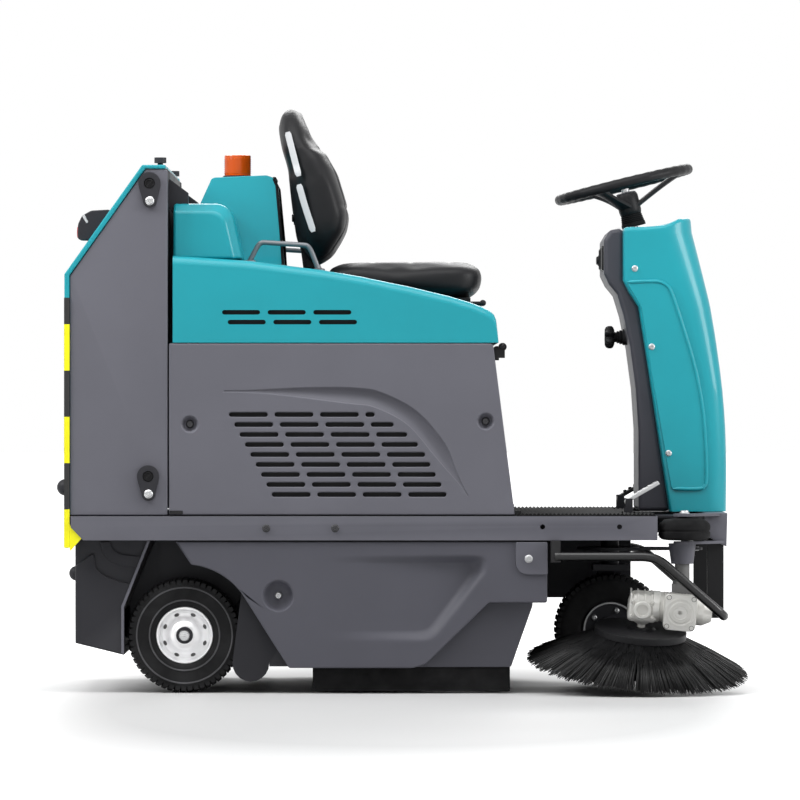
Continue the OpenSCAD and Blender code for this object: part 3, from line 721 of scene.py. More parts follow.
def hood_ring(x, well, t):
    """Section from the right sill over the top to the left one; t insets it for the inner skin."""
    top = max(between(x, HOOD_TOP) - t, HOOD_SILL + 0.6)
    r = min(HOOD_EDGE_R, max(top - HOOD_SILL - 0.3, 0.2))
    y = HALF - 1 - t
    half = [(-y, HOOD_SILL)]
    half += [(-y + r * (1 - cos(a)), top - r + r * sin(a))
             for a in [radians(15 * k) for k in range(7)]]
    low = min(top, WELL_Z - t) if well else top
    half += [(-270 - t, top), (-264 - t, min(top, max(low, top - 3))), (-262 - t, low), (-200, low)]
    return half + [(-a, b) for a, b in reversed(half)]


def hood_shell():
    """The cover over the seat box, with a well for the seat and an arm on each side of the filter."""
    rings = []
    for x, well in [(x, False) for x in FLAT_STATIONS] + [(x, True) for x in WELL_STATIONS]:
        back = min(x, HOOD_INNER_END)
        rings.append([(x, y, z) for y, z in hood_ring(x, well, 0)]
                     + [(back, y, z) for y, z in reversed(hood_ring(back, well, HOOD_THICK))])
    shape = Shape().loft(rings)
    for s in (1, -1):
        rows = []
        for x in (-491, -450, -400, ARM_END):
            skins = [hood_ring(x, False, t)[:8] for t in (0, HOOD_THICK)]
            outer, inner = [skin + [(ARM_INNER_Y, skin[7][1])] for skin in skins]
            rows.append([(x, s * y, z) for y, z in outer + inner[::-1]])
        shape.loft(rows)
    return shape


slots = Shape()
for start, z in ((-384.6, 824.5), (-372.4, 803.3)):
    for j in range(3):
        x0 = start + 98.6 * j
        for s in (1, -1):
            slots.prism(slot_loop(x0, x0 + 82.5, z, 10), *sorted((s * 415, s * 440)))
piece("hood_panel", hood_shell().less(slots, "hood"), TEAL, "hood", stands="top_cover", angle=28,
      flats=True)
# Black sheets behind the hood's vent slots: painted shade seen through them.
Shape().block(-395, -80, -412, -410, 790, 838).both().make("hood_vent_shade_sheets", BLACK, "hood", bevel=0.5)

# Filter block, tower and beacon

BLOCK = [(-491, 941), (-491, 1061)] + arc(-400, 1021, 40, 90, 14, 8) + [(-342, 941)]
BLOCK_SIDE = [(-491, 941), (-491, 1043)] + arc(-414, 1005, 38, 90, 14, 8) + [(-360, 941)]
stations = ((BLOCK_SIDE, -396), (BLOCK, -368), (BLOCK, 368), (BLOCK_SIDE, 396))
block = Shape().loft([[(x, y, z) for x, z in outline] for outline, y in stations])
hollow = Shape().prism([(-520, 900), (-520, 1050), (-410, 1050), (-374, 900)], -362, 362)
piece("filter_cover", block.less(hollow, "block"), TEAL, "hood", stands="filter_block", bevel=7,
      segments=4, angle=25)
TOWER = round_corners([(-444, 1060), (-416, 1123), (-409, 1126), (-295, 1131), (-280, 1126), (-273, 1111),
                       (-259, 926), (-384, 930), (-384, 1040), (-444, 1040)],
                      [2, 16, 10, 12, 12, 12, 2, 2, 2, 2])


def tower_half(z):
    """Half width of the tower, which narrows upwards."""
    return 170 - 26 * (z - 926) / 205


tower = Shape().loft([[(x, s * tower_half(z), z) for x, z in TOWER] for s in (-1, 1)])
tower.make("tower_cover", TEAL, "hood", stands="tower", bevel=11, segments=5, angle=30)
seal = Shape()
for s in (-1, 1):
    seal.tube([(x, s * (tower_half(z) + out), z) for x, out, z in
               ((-279, -2, 1122), (-272, 1, 1108), (-262, 1, 1000), (-257.5, 1, 928))], 3.2, 8)
seal.tube([(-279, -141, 1124), (-277, -90, 1126), (-277, 90, 1126), (-279, 141, 1124)], 3.2, 8)
seal.make("tower_seal", RUBBER, "hood")
beacon_at = posed((-362, 0, 0))
fluted = [(29.2 + 0.8 * (k % 2), 1138 + 2.2 * k) for k in range(17)]
dome = Shape().turn([(0.1, 1129), (30, 1129), (30, 1136), (28.5, 1137)] + fluted
                    + [(29.6, 1177), (28.8, 1180), (26, 1181), (0.1, 1181)], beacon_at, 40)
dome.make("beacon_lens", AMBER, "hood", stands="beacon", angle=40)
foot = Shape().turn([(0.1, 1126), (33, 1126), (33, 1133), (31, 1135), (0.1, 1135)], beacon_at, 40)
foot.make("beacon_base", BLACK, "hood")

# Grab bars

BAR_Y = -282
BAR_LINE = ((-330, 934), (-322, 950), (-310, 972), (-301, 978.5), (-290, 978.5), (-250, 976), (-212, 973.5),
            (-202, 971), (-195, 962), (-186, 940), (-177, 916))
bars = Shape().tube(smooth_path([(x, BAR_Y, z) for x, z in BAR_LINE], 6), 5.5, 16)
for x, z in ((-328, 936), (-177, 918)):
    bars.turn([(13, z - 2), (13, z + 3), (11, z + 4), (5.5, z + 5)], posed((x, BAR_Y, 0)), 24)
bars.both().make("grab_bar", BAR, "hood", stands="grab_bars", angle=50)

# Console

REAR_EDGE = ((390, 593), (701, 547), (840, 525), (875, 502), (898, 491), (1017, 491))
FRONT_EDGE = ((390, 718), (480, 719), (565, 717), (640, 712), (710, 704), (780, 694), (846, 683),
              (941, 660), (1000, 645), (1039, 635))
TOP_EDGE = ((480, 1015), (542, 1016), (582, 1020), (600, 1027), (613, 1034), (640, 1037))
NOSE_R = ((390, 40), (650, 40), (850, 58), (1020, 80))
CONSOLE_HALF, CONSOLE_LID_Z, PANEL_Y = 200, 1012, -203.5
LEVELS = (390, 420, 455, 495, 535, 575, 615, 655, 701, 740, 780, 815, 840, 858, 875, 888, 898, 930,
          960, 990, 1004)
LID = ((0, 9), (0.8, 5.5), (2.6, 2.4), (5.5, 0.6), (9, 0), (40, 0), (90, 0.2))


def console_ring(z, inset=0, lid=None):
    """A level section with a rounded nose, wider towards the top; lid lays it on the sloping top."""
    xr, xf = between(z, REAR_EDGE) + inset, between(z, FRONT_EDGE) - inset
    w, r = CONSOLE_HALF - inset, between(z, NOSE_R)
    s = r * 0.8
    half = [(xr, -w + 6), (xr + 2, -w + 2), (xr + 6, -w)]
    half += [(xr + 6 + (xf - r - xr - 6) * k / 5, -w) for k in range(1, 5)]
    half += [(xf - r + r * sin(a), -w + s * (1 - cos(a)))
             for a in [radians(9 * k) for k in range(11)]]
    half += [(xf + 1.0 * k, -w + s + (w - s) * k / 4) for k in range(1, 4)]
    ring = half + [(x, -y) for x, y in reversed(half)]
    return [(x, y, z if lid is None else between(x, TOP_EDGE) - lid) for x, y in ring]


shell = Shape().loft([console_ring(z) for z in LEVELS]
                     + [console_ring(CONSOLE_LID_Z, inset, lid) for inset, lid in LID])
shell.make("console_cover", TEAL, stands="console_shell", angle=50, even=True)
RAISED = [(497, 894), (571, 894), (590, 884), (619, 804), (646, 714), (664, 624), (672, 530), (672, 440),
          (596, 440), (551, 701), (530, 838)]
raised = round_corners(RAISED, [6, 14, 24, 90, 90, 90, 60, 10, 6, 30, 30])
paired("console_panel", plate_mesh([raised], PANEL_Y, 8, 2), TEAL, even=True)
line = smooth_path([(498, 894), (545, 896), (569, 895), (584, 888), (596, 872), (619, 804), (646, 714),
                    (664, 624), (672, 530), (673, 460), (669, 446), (656, 440), (598, 440)], 6)
bead = Shape().tube([(q.x, -202.4, q.y) for q in line], [1.0] + [4.2] * (len(line) - 2) + [1.0], 12)
bead.both().make("console_beads", TEAL, angle=60)
BACK = [(526, 390), (526, 569), (520, 660), (508, 750), (493, 822), (479, 868), (461, 890), (450, 913),
        (450, 988), (463, 1010), (489.5, 1014), (493, 1000), (493, 900), (527, 842), (549, 701), (594, 390)]
BACK_RADII = [0, 30, 30, 30, 30, 14, 14, 12, 12, 12] + [0] * 6
back = Shape().prism(round_corners(BACK, BACK_RADII, 4), -152, 152)
back.make("console_rear", GREY_DARK, stands="console_back", bevel=9, segments=4, angle=40)

# A plain switch field on the driver's face of the console: meter, key switch and round buttons
face = Shape()
face_at = posed((450, 0, 948), -90)
for y0, y1, z0, z1, h in ((-120, -10, -26, 28, 3), (6, 62, -22, 24, 4)):
    mid = (y0 + y1) / 2
    face.loft([[face_at @ Vector((a * k, mid + (b - mid) * k, d)) for a, b in soft_box(z0, z1, y0, y1, 8)]
               for k, d in ((1, -1), (1, h), (0.93, h + 1.2), (0.86, h - 0.8))])
for y in (84, 112):
    face.turn([(12, -1), (12, 4), (10.5, 6), (9, 6), (8.4, 9), (0.1, 9.6)], face_at @ posed((0, y, 0)), 28)
face.make("switch_field", BLACK, angle=30)

# Steering wheel

RIM_R, GRIP_R, GRIP_WAVE, GRIP_WAVES, SPOKE_DISH, SPOKE_HIGH = 146, 11.6, 0.4, 36, -52, 6.5


def power(c, e):
    """A power that keeps the sign."""
    return copysign(abs(c) ** e, c)


column = posed((499, 0, 1115), -13.7)
angles = around(144)
grip = Shape().tube([column @ polar(RIM_R, a, 0) for a in angles],
                    [GRIP_R + GRIP_WAVE * cos(a * GRIP_WAVES) for a in angles], 16, closed=True)
for turned in (0, 120, 240):
    spoke = column @ Matrix.Rotation(radians(turned), 4, "Z")
    rings = []
    for t in [k / 8 for k in range(9)]:
        x, z = 16 + 126 * t, SPOKE_DISH * (1 - t) ** 1.2
        w = 17 - 5 * sin(pi * min(1, t * 1.1)) - 2 * t
        rings.append([spoke @ Vector((x, w * power(cos(b), 0.7), z + SPOKE_HIGH * power(sin(b), 0.7)))
                      for b in around(12)])
    grip.loft(rings)
grip.turn([(0.1, -90), (20, -90), (21, -86), (21, -70), (24, -66), (25, -60), (25, -28), (23, -22),
           (0.1, -20)], column, 40)
grip.make("steering_grip", BLACK, "helm", stands="steering_wheel", angle=40)
cap = Shape().turn([(22, -21.4), (22, -19.4), (19, -17.6), (0.1, -16.8)], column, 40)
cap.make("steering_cap", DARK_PLASTIC, "helm", angle=30)
folds = [(25 - 0.3 * k + 1.4 * (k % 2), -86 + 2.0 * k) for k in range(11)]
Shape().turn([(27, -96), (27, -88)] + folds, column, 32).make("column_boot", RUBBER, "helm", angle=60)

# Seat

SWELL_MAX, SWELL_FRAMES, PAD_FILL = 6.0, 20, 0.85
CUSHION_LOW, CUSHION_HIGH = (-160, -236, 861.3), (180, 236, 941)
BACK_LOW, BACK_HIGH = (-270, -225, 938), (-109, 225, 1281)
BACK_FRONT = ((936, -180), (948, -160), (968, -138), (1018, -112), (1043, -109), (1122, -133), (1178, -162),
              (1190, -178), (1210, -192), (1262, -210), (1283, -226))
BACK_REAR = ((936, -208), (1000, -226), (1142, -240), (1200, -257), (1262, -272), (1283, -256))


def clamp(v):
    return max(0.0, min(1.0, v))


def crease(s, lines, width):
    return max(exp(-((s - c) / width) ** 2) for c in lines)


def pillow(place, n, m, e1, e2):
    """A closed superellipsoid grid; place turns unit (a, b, c) into a point."""
    rings = []
    for f in [pi * (i / n - 0.5) for i in range(1, n)]:
        r = power(cos(f), e1)
        rings.append([place(r * power(cos(t), e2), r * power(sin(t), e2), power(sin(f), e1))
                      for t in around(m)])
    return Shape().loft(rings).mesh("pad")


def remeshed(ob):
    modify(ob, "REMESH", mode="VOXEL", voxel_size=0.006)


def blown(ob):
    cloth = ob.modifiers.new("cloth", "CLOTH").settings
    cloth.quality = 4
    cloth.tension_stiffness = 40.0
    cloth.compression_stiffness = 40.0
    cloth.bending_stiffness = 20.0
    cloth.use_pressure = True
    cloth.uniform_pressure_force = 4.0
    cloth.effector_weights.gravity = 0.0
    for f in range(1, SWELL_FRAMES + 1):
        scene.frame_set(f)


def swollen(mesh, floor=0.0):
    """The form stuffed by a short cloth run; no point moves further than SWELL_MAX or under the floor."""
    grid = evaluated(mesh, remeshed)
    full = evaluated(grid.copy(), blown)
    for v, b in zip(grid.vertices, full.vertices):
        move = b.co - v.co
        far = move.length
        v.co = v.co + move * (min(1.0, SWELL_MAX / 1000.0 / far) if far > 1e-9 else 0.0)
        v.co.z = max(v.co.z, floor / 1000.0)
    scene.frame_set(1)
    return grid


def eased(ob):
    modify(ob, "SMOOTH", factor=0.5, iterations=12)
    modify(ob, "SUBSURF")


def sewn(mesh, low, high, press):
    """The eased form fitted to its box, then seams and channels pressed in, in millimetres."""
    fine = evaluated(mesh, eased)
    points = [v.co * 1000.0 - SHIFT for v in fine.vertices]
    lo = [min(p[i] for p in points) for i in range(3)]
    hi = [max(p[i] for p in points) for i in range(3)]
    for v, p in zip(fine.vertices, points):
        fitted = [low[i] + (p[i] - lo[i]) * (high[i] - low[i]) / (hi[i] - lo[i]) for i in range(3)]
        v.co = at(*press(*fitted))
    return fine


def cushion_point(a, b, c):
    """The seat pad before stuffing: nose fuller than the rear, flat below."""
    x, y, z = 10 + 166 * a, 234 * b, 901 + 38.5 * c
    if c < 0:
        x -= 8 * -c * max(0.0, a) ** 3
    return (x, y, max(z, 862.0))


def cushion_seams(x, y, z):
    """Three channels across and a hollow along the middle."""
    a, b = (x - 10) / 168.0, y / 236.0
    top = clamp((z - 905) / 25.0) * max(0.0, 1 - abs(a) ** 8) * max(0.0, 1 - abs(b / 0.82) ** 6)
    z -= top * (3.0 * crease(a, (-0.42, 0.08, 0.58), 0.035) + 5.0 * (1 - b * b) * (0.9 - a) * 0.5)
    return (x, y, min(max(z, CUSHION_LOW[2]), 943.0))


def back_faces(z):
    """Front and rear of the backrest at a height."""
    return between(z, BACK_FRONT, 0.35), between(z, BACK_REAR, 0.35)


def back_width(z):
    return 226 - 34 * max(0.0, (z - 1090) / 186) ** 1.6


def back_point(a, b, c):
    """The back pad before stuffing: lumbar swell and a narrower head part."""
    z = 1109 + 170 * a
    front, rear = back_faces(z)
    xf, xr = front - 1, rear + 1
    return ((xf + xr) / 2 + (xf - xr) / 2 * c, (back_width(z) - 3) * b, z)


def back_seams(x, y, z):
    """Side bolsters, a hollow between them and a seam under the head part."""
    xf, xr = back_faces(z)
    b = y / back_width(z)
    c = clamp((x - (xf + xr) / 2) / max(8.0, (xf - xr) / 2))
    front = c * max(0.0, 1 - abs((z - 1107) / 169) ** 8) * max(0.0, 1 - abs(b) ** 6)
    x -= front * (6 * crease(z, (1186.0,), 6.0) + 3 * crease(z, (1062.0,), 5.0)
                  + 7 * crease(abs(b), (0.66,), 0.05) * (1 if z < 1180 else 0.2) + 8 * (1 - b * b))
    return (x, y, min(z, 1282.0))


stuffed = swollen(pillow(cushion_point, 44, 96, 0.4, 0.34), CUSHION_LOW[2])
seat = piece("seat_pad", sewn(stuffed, CUSHION_LOW, CUSHION_HIGH, cushion_seams), VINYL, "seat",
             stands="seat_cushion", angle=70)
stuffed = swollen(pillow(back_point, 48, 104, 0.55, 0.5))
rest = piece("back_pad", sewn(stuffed, BACK_LOW, BACK_HIGH, back_seams), VINYL, "seat_back",
             stands="backrest", angle=70)
trim = Shape()
for path in (((-247, 1224), (-236, 1180), (-222, 1126)), ((-222, 1108), (-209, 1062), (-190, 1004))):
    pts = smooth_path(path)
    rows = []
    for i, p in enumerate(pts):
        d = heading(pts, i)
        side = Vector((-d.y, d.x)) * (7.0 if 0 < i < len(pts) - 1 else 4.5)
        w = back_width(p.y) * (0.985 if p.y < 1140 else 0.96)
        a, b = p + side, p - side
        rows.append([(q.x, -w + out, q.y) for q, out in ((a, 5), (a, -1.5), (p, -3), (b, -1.5), (b, 5))])
    trim.loft(rows)
trim.both().make("back_trim", TRIM, "seat_back", angle=40)
hinge = Shape()
HINGE = round_corners([(-214, 924), (-186, 924), (-188, 985), (-222, 985)], 8)
for y in (-74, 74):
    hinge.prism(HINGE, y - 10, y + 10)
for x, z in ((-235, 1100), (-232, 1037)):
    for y in (-120, 120):
        hinge.bolt(posed((x, y, z), -90), 9, 7)
hinge.make("back_hinge", BLACK_STEEL, "seat_back", bevel=1.5)

# Hopper

SIDE = round_corners([(-713, 386), (-502, 386), (-502, 1134), (-549, 1134), (-713, 903)], [4, 4, 8, 10, 10])
right_side = plate_mesh([SIDE], -HALF + 1, 5, 2.2)
left_side = mirror_mesh(right_side)
mast_gaps = Shape()
for y in (-344, 344):
    mast_gaps.block(-530, -490, y - 22, y + 22, 900, 1200)
wall = Shape().block(-506, -502, -424, 424, 650, 1134).less(mast_gaps, "hopper_wall")
piece("hopper_right_side", right_side, GREY, "hopper", stands="hopper_shell")
piece("hopper_left_side", left_side, GREY, "hopper")
# The front wall is a grey panel drawn in dark paint: painted shade.
piece("hopper_front_wall", wall, DARK, "hopper", slot="grey_panel", bevel=1)
band = Shape()
BAND_TIP = [(-713.4, 366), (-711.5, 362), (-686, 338), (-711.5, 309.5), (-713.4, 311)]
for s in (-1, 1):
    band.block(-725.5, -713.6, *sorted((s * 432.0, s * 432.6)), 316, 856)
    band.block(-725.6, -725.0, *sorted((s * 432.6, s * 372)), 316, 856)
    band.prism(BAND_TIP, *sorted((s * 426.0, s * 432.6)))
band.make("hazard_band", HAZARD, "hopper", bevel=0.15, segments=1)
POD = round_corners([(-640, 1010), (-673, 981), (-697, 981), (-697, 1015), (-688, 1034), (-668, 1045),
                     (-631, 1047), (-627, 1045.5)], [0, 6, 8, 20, 16, 20, 8, 0])
pods = Shape().prism(POD, -410, -340).both()
pods.make("lamp_pods", DARK_PLASTIC, "hopper", stands="rear_lamps", bevel=7, segments=4, angle=40)
# A pale leaf on each lamp pod's side: a painted highlight where its side lens catches light.
glint = round_corners([(-678, 1017), (-674, 1020), (-683, 1037), (-689, 1034)], 1.5)
Shape().prism(glint, -411.2, -409).both().make("lamp_side_painted_glint", TRIM, "hopper", slot="lens", bevel=0.8)
glass = Shape()
flutes = [(11 - k * 1.2, 2.4 + 0.35 * (k % 2)) for k in range(8)]
GLASS = [(13, -1), (13, 1), (11.5, 2.4)] + flutes + [(0.2, 2.6)]
for y in (-392, -360):
    glass.turn(GLASS, posed((-696.4, 0, 998), -90) @ posed((0, y, 0)), 32)
glass.both().make("lamp_glass", RED, "hopper", angle=40)
knobs = Shape()
for y in (-395, 395):
    knobs.lobed(posed((-519, y, 0)), 11.6, 1.4, 8, 48,
                ((1148, 0.86), (1150, 1.0), (1157, 1.0), (1160, 0.8)))
knobs.make("hopper_knob_grips", BLACK, "hopper", angle=40)
ribs = Shape().block(-729, -725, -300, 300, 420, 432).block(-729, -725, -300, 300, 520, 532)
ribs.block(-729, -725, -180, 180, 620, 800).make("rear_ribs", TEAL, "hopper", bevel=1.8)
RELIEF = round_corners([(-703, 110), (-600, 84), (-600, 187), (-581, 237), (-606, 241), (-641, 255),
                        (-659, 271), (-664, 304), (-703, 276)], [4, 3, 6, 4, 20, 30, 16, 4, 4])
outer = smooth_path([(-650, 328), (-643, 303), (-628, 286), (-605, 277), (-569, 272)], 5)
inner = smooth_path([(-628, 328), (-622, 313), (-612, 305), (-596, 300), (-558, 296)], 5)
relief = Shape().prism(RELIEF, -387, -380).prism(outer + inner[::-1], -384, -380)
relief.both().make("bin_relief", DARK_PLASTIC, "hopper", bevel=2)
arch = Shape().prism([(-533, 331), (-520, 331), (-520, 110), (-588, 150), (-590, 196)], -303, -297)
arch.both().make("arch_walls", DARK, bevel=1)
FLANGE = [(-598, 84), (-598, 186), (-541.5, 330), (-548, 330), (-604, 188), (-604, 86)]
Shape().prism(FLANGE, -390, -380).both().make("bin_flange", GREY, "hopper", bevel=1)
# Black patches where each cover has a notch at its lower rear corner: painted shade in the notch.
Shape().prism(soft_box(-498, -469, 388, 396, 2), -432, -429).both().make("cover_notch_shade", BLACK, bevel=0.6)
caps, studs = Shape(), Shape()
for x, z in ((-541, 1103), (-544, 470)):
    caps.turn([(11.6, -1), (11.6, 2), (8, 3.5), (7, 1.5), (0.2, 1.5)], axis_y(x, -HALF - 3.5, z), 28)
    studs.bolt(axis_y(x + 1, -HALF - 9, z - 38), 7.5, 5)
caps.both().make("bracket_caps", BLACK_STEEL, "hopper", angle=40)
studs.both().make("bracket_bolts", CHROME, "hopper", angle=40)

# Wheels, each drawn about its own Z with the outer side up

right_at, front_at = axis_y(REAR_X, -348, WHEEL_Z), axis_y(468, 0, WHEEL_Z)
TREAD_BLOCKS, TREAD_LEAN = 54, 0.0012
TREAD_ROWS = ((13, 37, 124.6, 119.5), (-10, 10, 125, 125), (-37, -13, 119.5, 124.6))
TYRE_WALL = [(62, 32), (66, 35), (72, 36.8), (80, 37.2), (92, 38), (100, 38.4), (106, 38), (111, 36.8),
             (116, 33.5), (118, 28)]
RIM = [(62, -30), (62, 31), (60.5, 33.5), (58.5, 33.5), (57, 31), (55.5, 23), (53, 15), (48, 12),
       (43, 12.5), (38, 16), (34, 22), (31, 26.5), (27, 29), (24, 29.6), (21, 31), (19, 34), (18.6, 36),
       (12.15, 36), (12.15, -30), (62, -30)]


def tyre_shape():
    """A tyre with a tread of three rows of blocks."""
    inner_wall = [(r, -h) for r, h in reversed(TYRE_WALL)]
    profile = TYRE_WALL + [(120.5, 10), (120.5, -10)] + inner_wall + TYRE_WALL[:1]
    shape = Shape().turn(profile, posed((0, 0, 0)), 96)
    step = 2 * pi / TREAD_BLOCKS
    for h0, h1, r0, r1 in TREAD_ROWS:
        for middle in around(TREAD_BLOCKS):
            corners = ((h0, r0, -1), (h0, r0, 1), (h1, r1, 1), (h1, r1, -1))
            shape.loft([[polar(r + rise, middle + step * a * wide + TREAD_LEAN * abs(h), h)
                         for h, r, a in corners] for rise, wide in ((-9, 0.38), (-0.8, 0.35), (0.0, 0.31))])
    return shape


def vent_posts(rx, ry, low, high):
    """Eight oval posts where the rim's vents are."""
    shape = Shape()
    for k in range(8):
        f = Matrix.Rotation(2 * pi * (k + 0.5) / 8, 4, "Z") @ posed((46.5, 0, 0))
        shape.loft([[f @ Vector((rx * cos(b), ry * sin(b), h)) for b in around(20)]
                    for h in (low, high)])
    return shape


tyre = tyre_shape()
tyre.moved(right_at).rear_pair("tread", TYRE, "tyre", angle=30)
tyre.moved(front_at).make("front_tread", TYRE, "drive_wheel", stands="front_tyre", angle=30)
# Two ridges on each rear tyre wall in the paler rubber: painted highlight along them.
wall_rings = Shape()
for r, h in ((76.0, 37.0), (103.5, 38.2)):
    wall_rings.turn([(r - 2.4, h - 1.5), (r - 1.2, h + 1.4), (r + 1.2, h + 1.4), (r + 2.4, h - 1.5)],
                    right_at, 96)
wall_rings.rear_pair("wall_rings", TYRE_HIGHLIGHT, angle=60)
vent_posts(3.55, 5.55, 1.0, 6.5).moved(right_at).rear_pair("vent_plugs", CASTING)
disc = Shape().turn(RIM, right_at, 72).less(vent_posts(3.8, 5.8, 2, 40).moved(right_at), "rim")
paired("disc", disc, WHITE, "rim", "*_wheel", angle=32)
hub = Shape().turn([(18.4, 35.5), (18.4, 38.5), (17, 40), (12.3, 40), (12.3, 35.5)], right_at, 40)
hub.rear_pair("hub_ring", DARK)
axle_caps = Shape()
for s in (1, -1):
    axle_end = posed((REAR_X, -s * 394, WHEEL_Z), 90 * s, "X")
    axle_caps.turn([(11.8, -1), (11.8, 2), (10, 4), (0.2, 4.6)], axle_end, 32)
axle_caps.make("axle_caps", CHROME)

# Bristles

SIDE_ROWS = ((60, 150, 26), (74, 190, 34), (86, 222, 40), (95, 241, 46))
SIDE_STRANDS, SIDE_REACH, SIDE_DROP = 34, 241.0, -84.0
BROOM_ROWS, BROOM_TUFTS, BROOM_HALF, BROOM_X, BROOM_Z = 10, 150, 345, 24, 138
CORE_R, BROOM_R = 55, 136
brush_at = posed((522, -375, 136), 5) @ Matrix.Rotation(radians(11), 4, "X")
tufts = Shape()
for ring, (r_in, reach, count) in enumerate(SIDE_ROWS):
    for k in range(count):
        base = 2 * pi * (k + 0.37 * ring) / count
        for _ in range(SIDE_STRANDS):
            root = base + random.gauss(0, 0.035)
            spread = base + random.gauss(0, 0.075)
            tip_r = min(SIDE_REACH, reach * random.uniform(0.9, 1.02))
            drop = SIDE_DROP * random.uniform(0.93, 0.999)
            p0 = brush_at @ polar(r_in, root, -11)
            p1 = brush_at @ polar(r_in * 0.45 + tip_r * 0.55, spread, drop * 0.5 - 6)
            p2 = brush_at @ polar(tip_r, spread, drop)
            p2.z = max(p2.z, random.uniform(1.2, 3.0))
            p1.z = max(p1.z, 5.0)
            tufts.strand([p0, p1, p2], 1.25, 0.85)
tufts.make("side_brush_tufts", BRISTLE, "side_brush", stands="side_bristles", angle=180)


def broom_point(r, angle, y):
    return Vector((BROOM_X + r * cos(angle), y, BROOM_Z + r * sin(angle)))


broom = Shape()
for row in around(BROOM_ROWS):
    for k in range(BROOM_TUFTS):
        y = -BROOM_HALF + 2 * BROOM_HALF * (k + 0.5) / BROOM_TUFTS + random.uniform(-1.5, 1.5)
        root = row + abs(y) / 8 * pi / 180 + random.gauss(0, 0.03)
        tip_r = BROOM_R - random.uniform(0, 3)
        bend = root + random.gauss(0, 0.02)
        tip_y = y + random.uniform(-3, 3)
        broom.strand([broom_point(CORE_R, root, y), broom_point(tip_r, bend, tip_y)], 1.8, 1.1)
broom.make("broom_tufts", BRISTLE, "broom", stands="broom_bristles", angle=180)

# Small things on the driver's place and the front

PEDAL_FACE, GUARD_REAR, GUARD_Y, GUARD_Z = 7.5, 335, 448, 297


def pedal_ribs(side, high):
    """Five cross ribs on a foot plate, standing that far out of it."""
    shape = Shape()
    f = posed((500, side, 412), -30)
    for x in range(14, 79, 13):
        rib, mid = soft_box(x, x + 7, -29, 29, 3), x + 3.5
        shape.loft([[f @ Vector((mid + (a - mid) * along, b * across, PEDAL_FACE + high * up))
                     for a, b in rib] for along, across, up in ((1, 1, 0), (1, 1, 0.75), (0.75, 0.97, 1))])
    return shape


pedal_ribs(-252, 1.4).make("drive_pedal_ribs", STEEL, "drive_treadle")
pedal_ribs(252, 4.0).make("brake_pedal_ribs", RUBBER, "brake_treadle")

bends = [(GUARD_REAR, -GUARD_Y, GUARD_Z), (552, -GUARD_Y, GUARD_Z), (700, -GUARD_Y, 168)]
bends += [(x, -y, z) for x, y, z in reversed(bends)]
guard = Shape().tube(round_corners(bends, [0, 80, 30, 30, 80, 0], 8), 10.2, 16)
for s in (-1, 1):
    guard_end = posed((GUARD_REAR, s * GUARD_Y, GUARD_Z), 90)
    guard.turn([(0.1, -1), (10.4, -1), (10.7, 0), (10.7, 9), (10.2, 11)], guard_end, 24)
guard.make("guard_tube", GLOSS, stands="front_guard", angle=40)
posts = Shape().prism([(669, 160), (705, 160), (705, 318.5), (673, 335.8), (669, 335.8)], -319, -311)
posts.prism(soft_box(325, 346, 284, 331.5, 2), -454, -428)
posts.both().make("guard_posts", BLACK_STEEL, bevel=1.5)

cover_ring = Shape().turn([(61, 33), (61, 37), (59.5, 38.5), (57.5, 38.5), (56, 36.5), (55.5, 33)],
                          front_at, 64)
for k in range(5):
    cover_ring.bolt(front_at @ Matrix.Rotation(2 * pi * k / 5, 4, "Z") @ posed((44, 0, 34)), 5, 5)
cover_ring.make("front_wheel_ring", STEEL, "drive_wheel", angle=40)

# The gearmotor: finned barrel, gear box, square flange with its boss, and ribs on top
flange_at = brush_at @ Matrix.Rotation(radians(90), 4, "X")
fins = [(33.6 - 1.4 * (k % 2), 44 + 3.4 * k) for k in range(19)]
barrel = [(0.1, 18), (31, 18), (33.6, 21), (33.6, 34), (32, 36), (32, 42)] + fins
barrel += [(33.8, 112), (33.8, 129), (32.5, 132), (25.5, 147), (23, 149.5), (12, 149.5), (10, 147.5),
           (0.1, 147.5)]
motor = Shape().turn(barrel, brush_at @ posed((0, 0, 56), 90), 48)
motor.slab(brush_at, soft_box(-33, 31, -29, 29, 12),
           ((0.86, 24), (0.96, 27), (1.0, 32), (1.0, 62), (0.9, 74), (0.72, 82), (0.5, 85)))
motor.turn([(9, 6), (9, 14), (16, 18), (20, 26)], brush_at, 32)
motor.slab(flange_at, soft_box(44.5, 115.5, 14.5, 95.5, 14),
           ((0.97, 30), (1.0, 31.5), (1.0, 39.5), (0.97, 41)))
motor.turn([(33, 40), (32, 41.6), (28, 41.6), (27, 40.6), (24, 40.6), (22.5, 41.8), (15, 41.8), (13, 39),
            (6, 39), (5, 41), (0.1, 41)], flange_at @ posed((80, 55, 0)), 48)
motor.turn([(20, 28), (20, 33), (18, 35.5), (13, 35.5), (12, 33.5), (0.1, 33.5)],
           flange_at @ posed((-2, 52, 0)), 36)
for a in (-24, 20):
    for b in (36, 68):
        motor.bolt(flange_at @ posed((a, b, 28.5)), 4, 5)
for x in range(-30, 16, 15):
    motor.slab(brush_at, soft_box(x, x + 4, -28, 28, 1.5), ((1, 60), (0.95, 84), (0.9, 86)))
motor.make("gear_casting", ALLOY, "brush_unit", stands="gearmotor", angle=38)
sleeve = Shape().turn([(16.3, 243), (19.5, 243), (21, 241), (21, 236), (19.6, 235), (19.6, 212),
                       (21, 211), (21, 198)], posed((612, -375, 0)), 36)
sleeve.make("rod_sleeve", CASTING, "brush_unit", angle=40)
holes = Shape()
for b in (23, 87):
    for a in (53, 107):
        holes.turn([(5.4, 40.6), (5.4, 41.3), (4.6, 41.3), (4.2, 36), (0.1, 36)],
                   flange_at @ posed((a, b, 0)), 20)
holes.make("flange_holes", BLACK, "brush_unit", slot="dark_steel", angle=40)

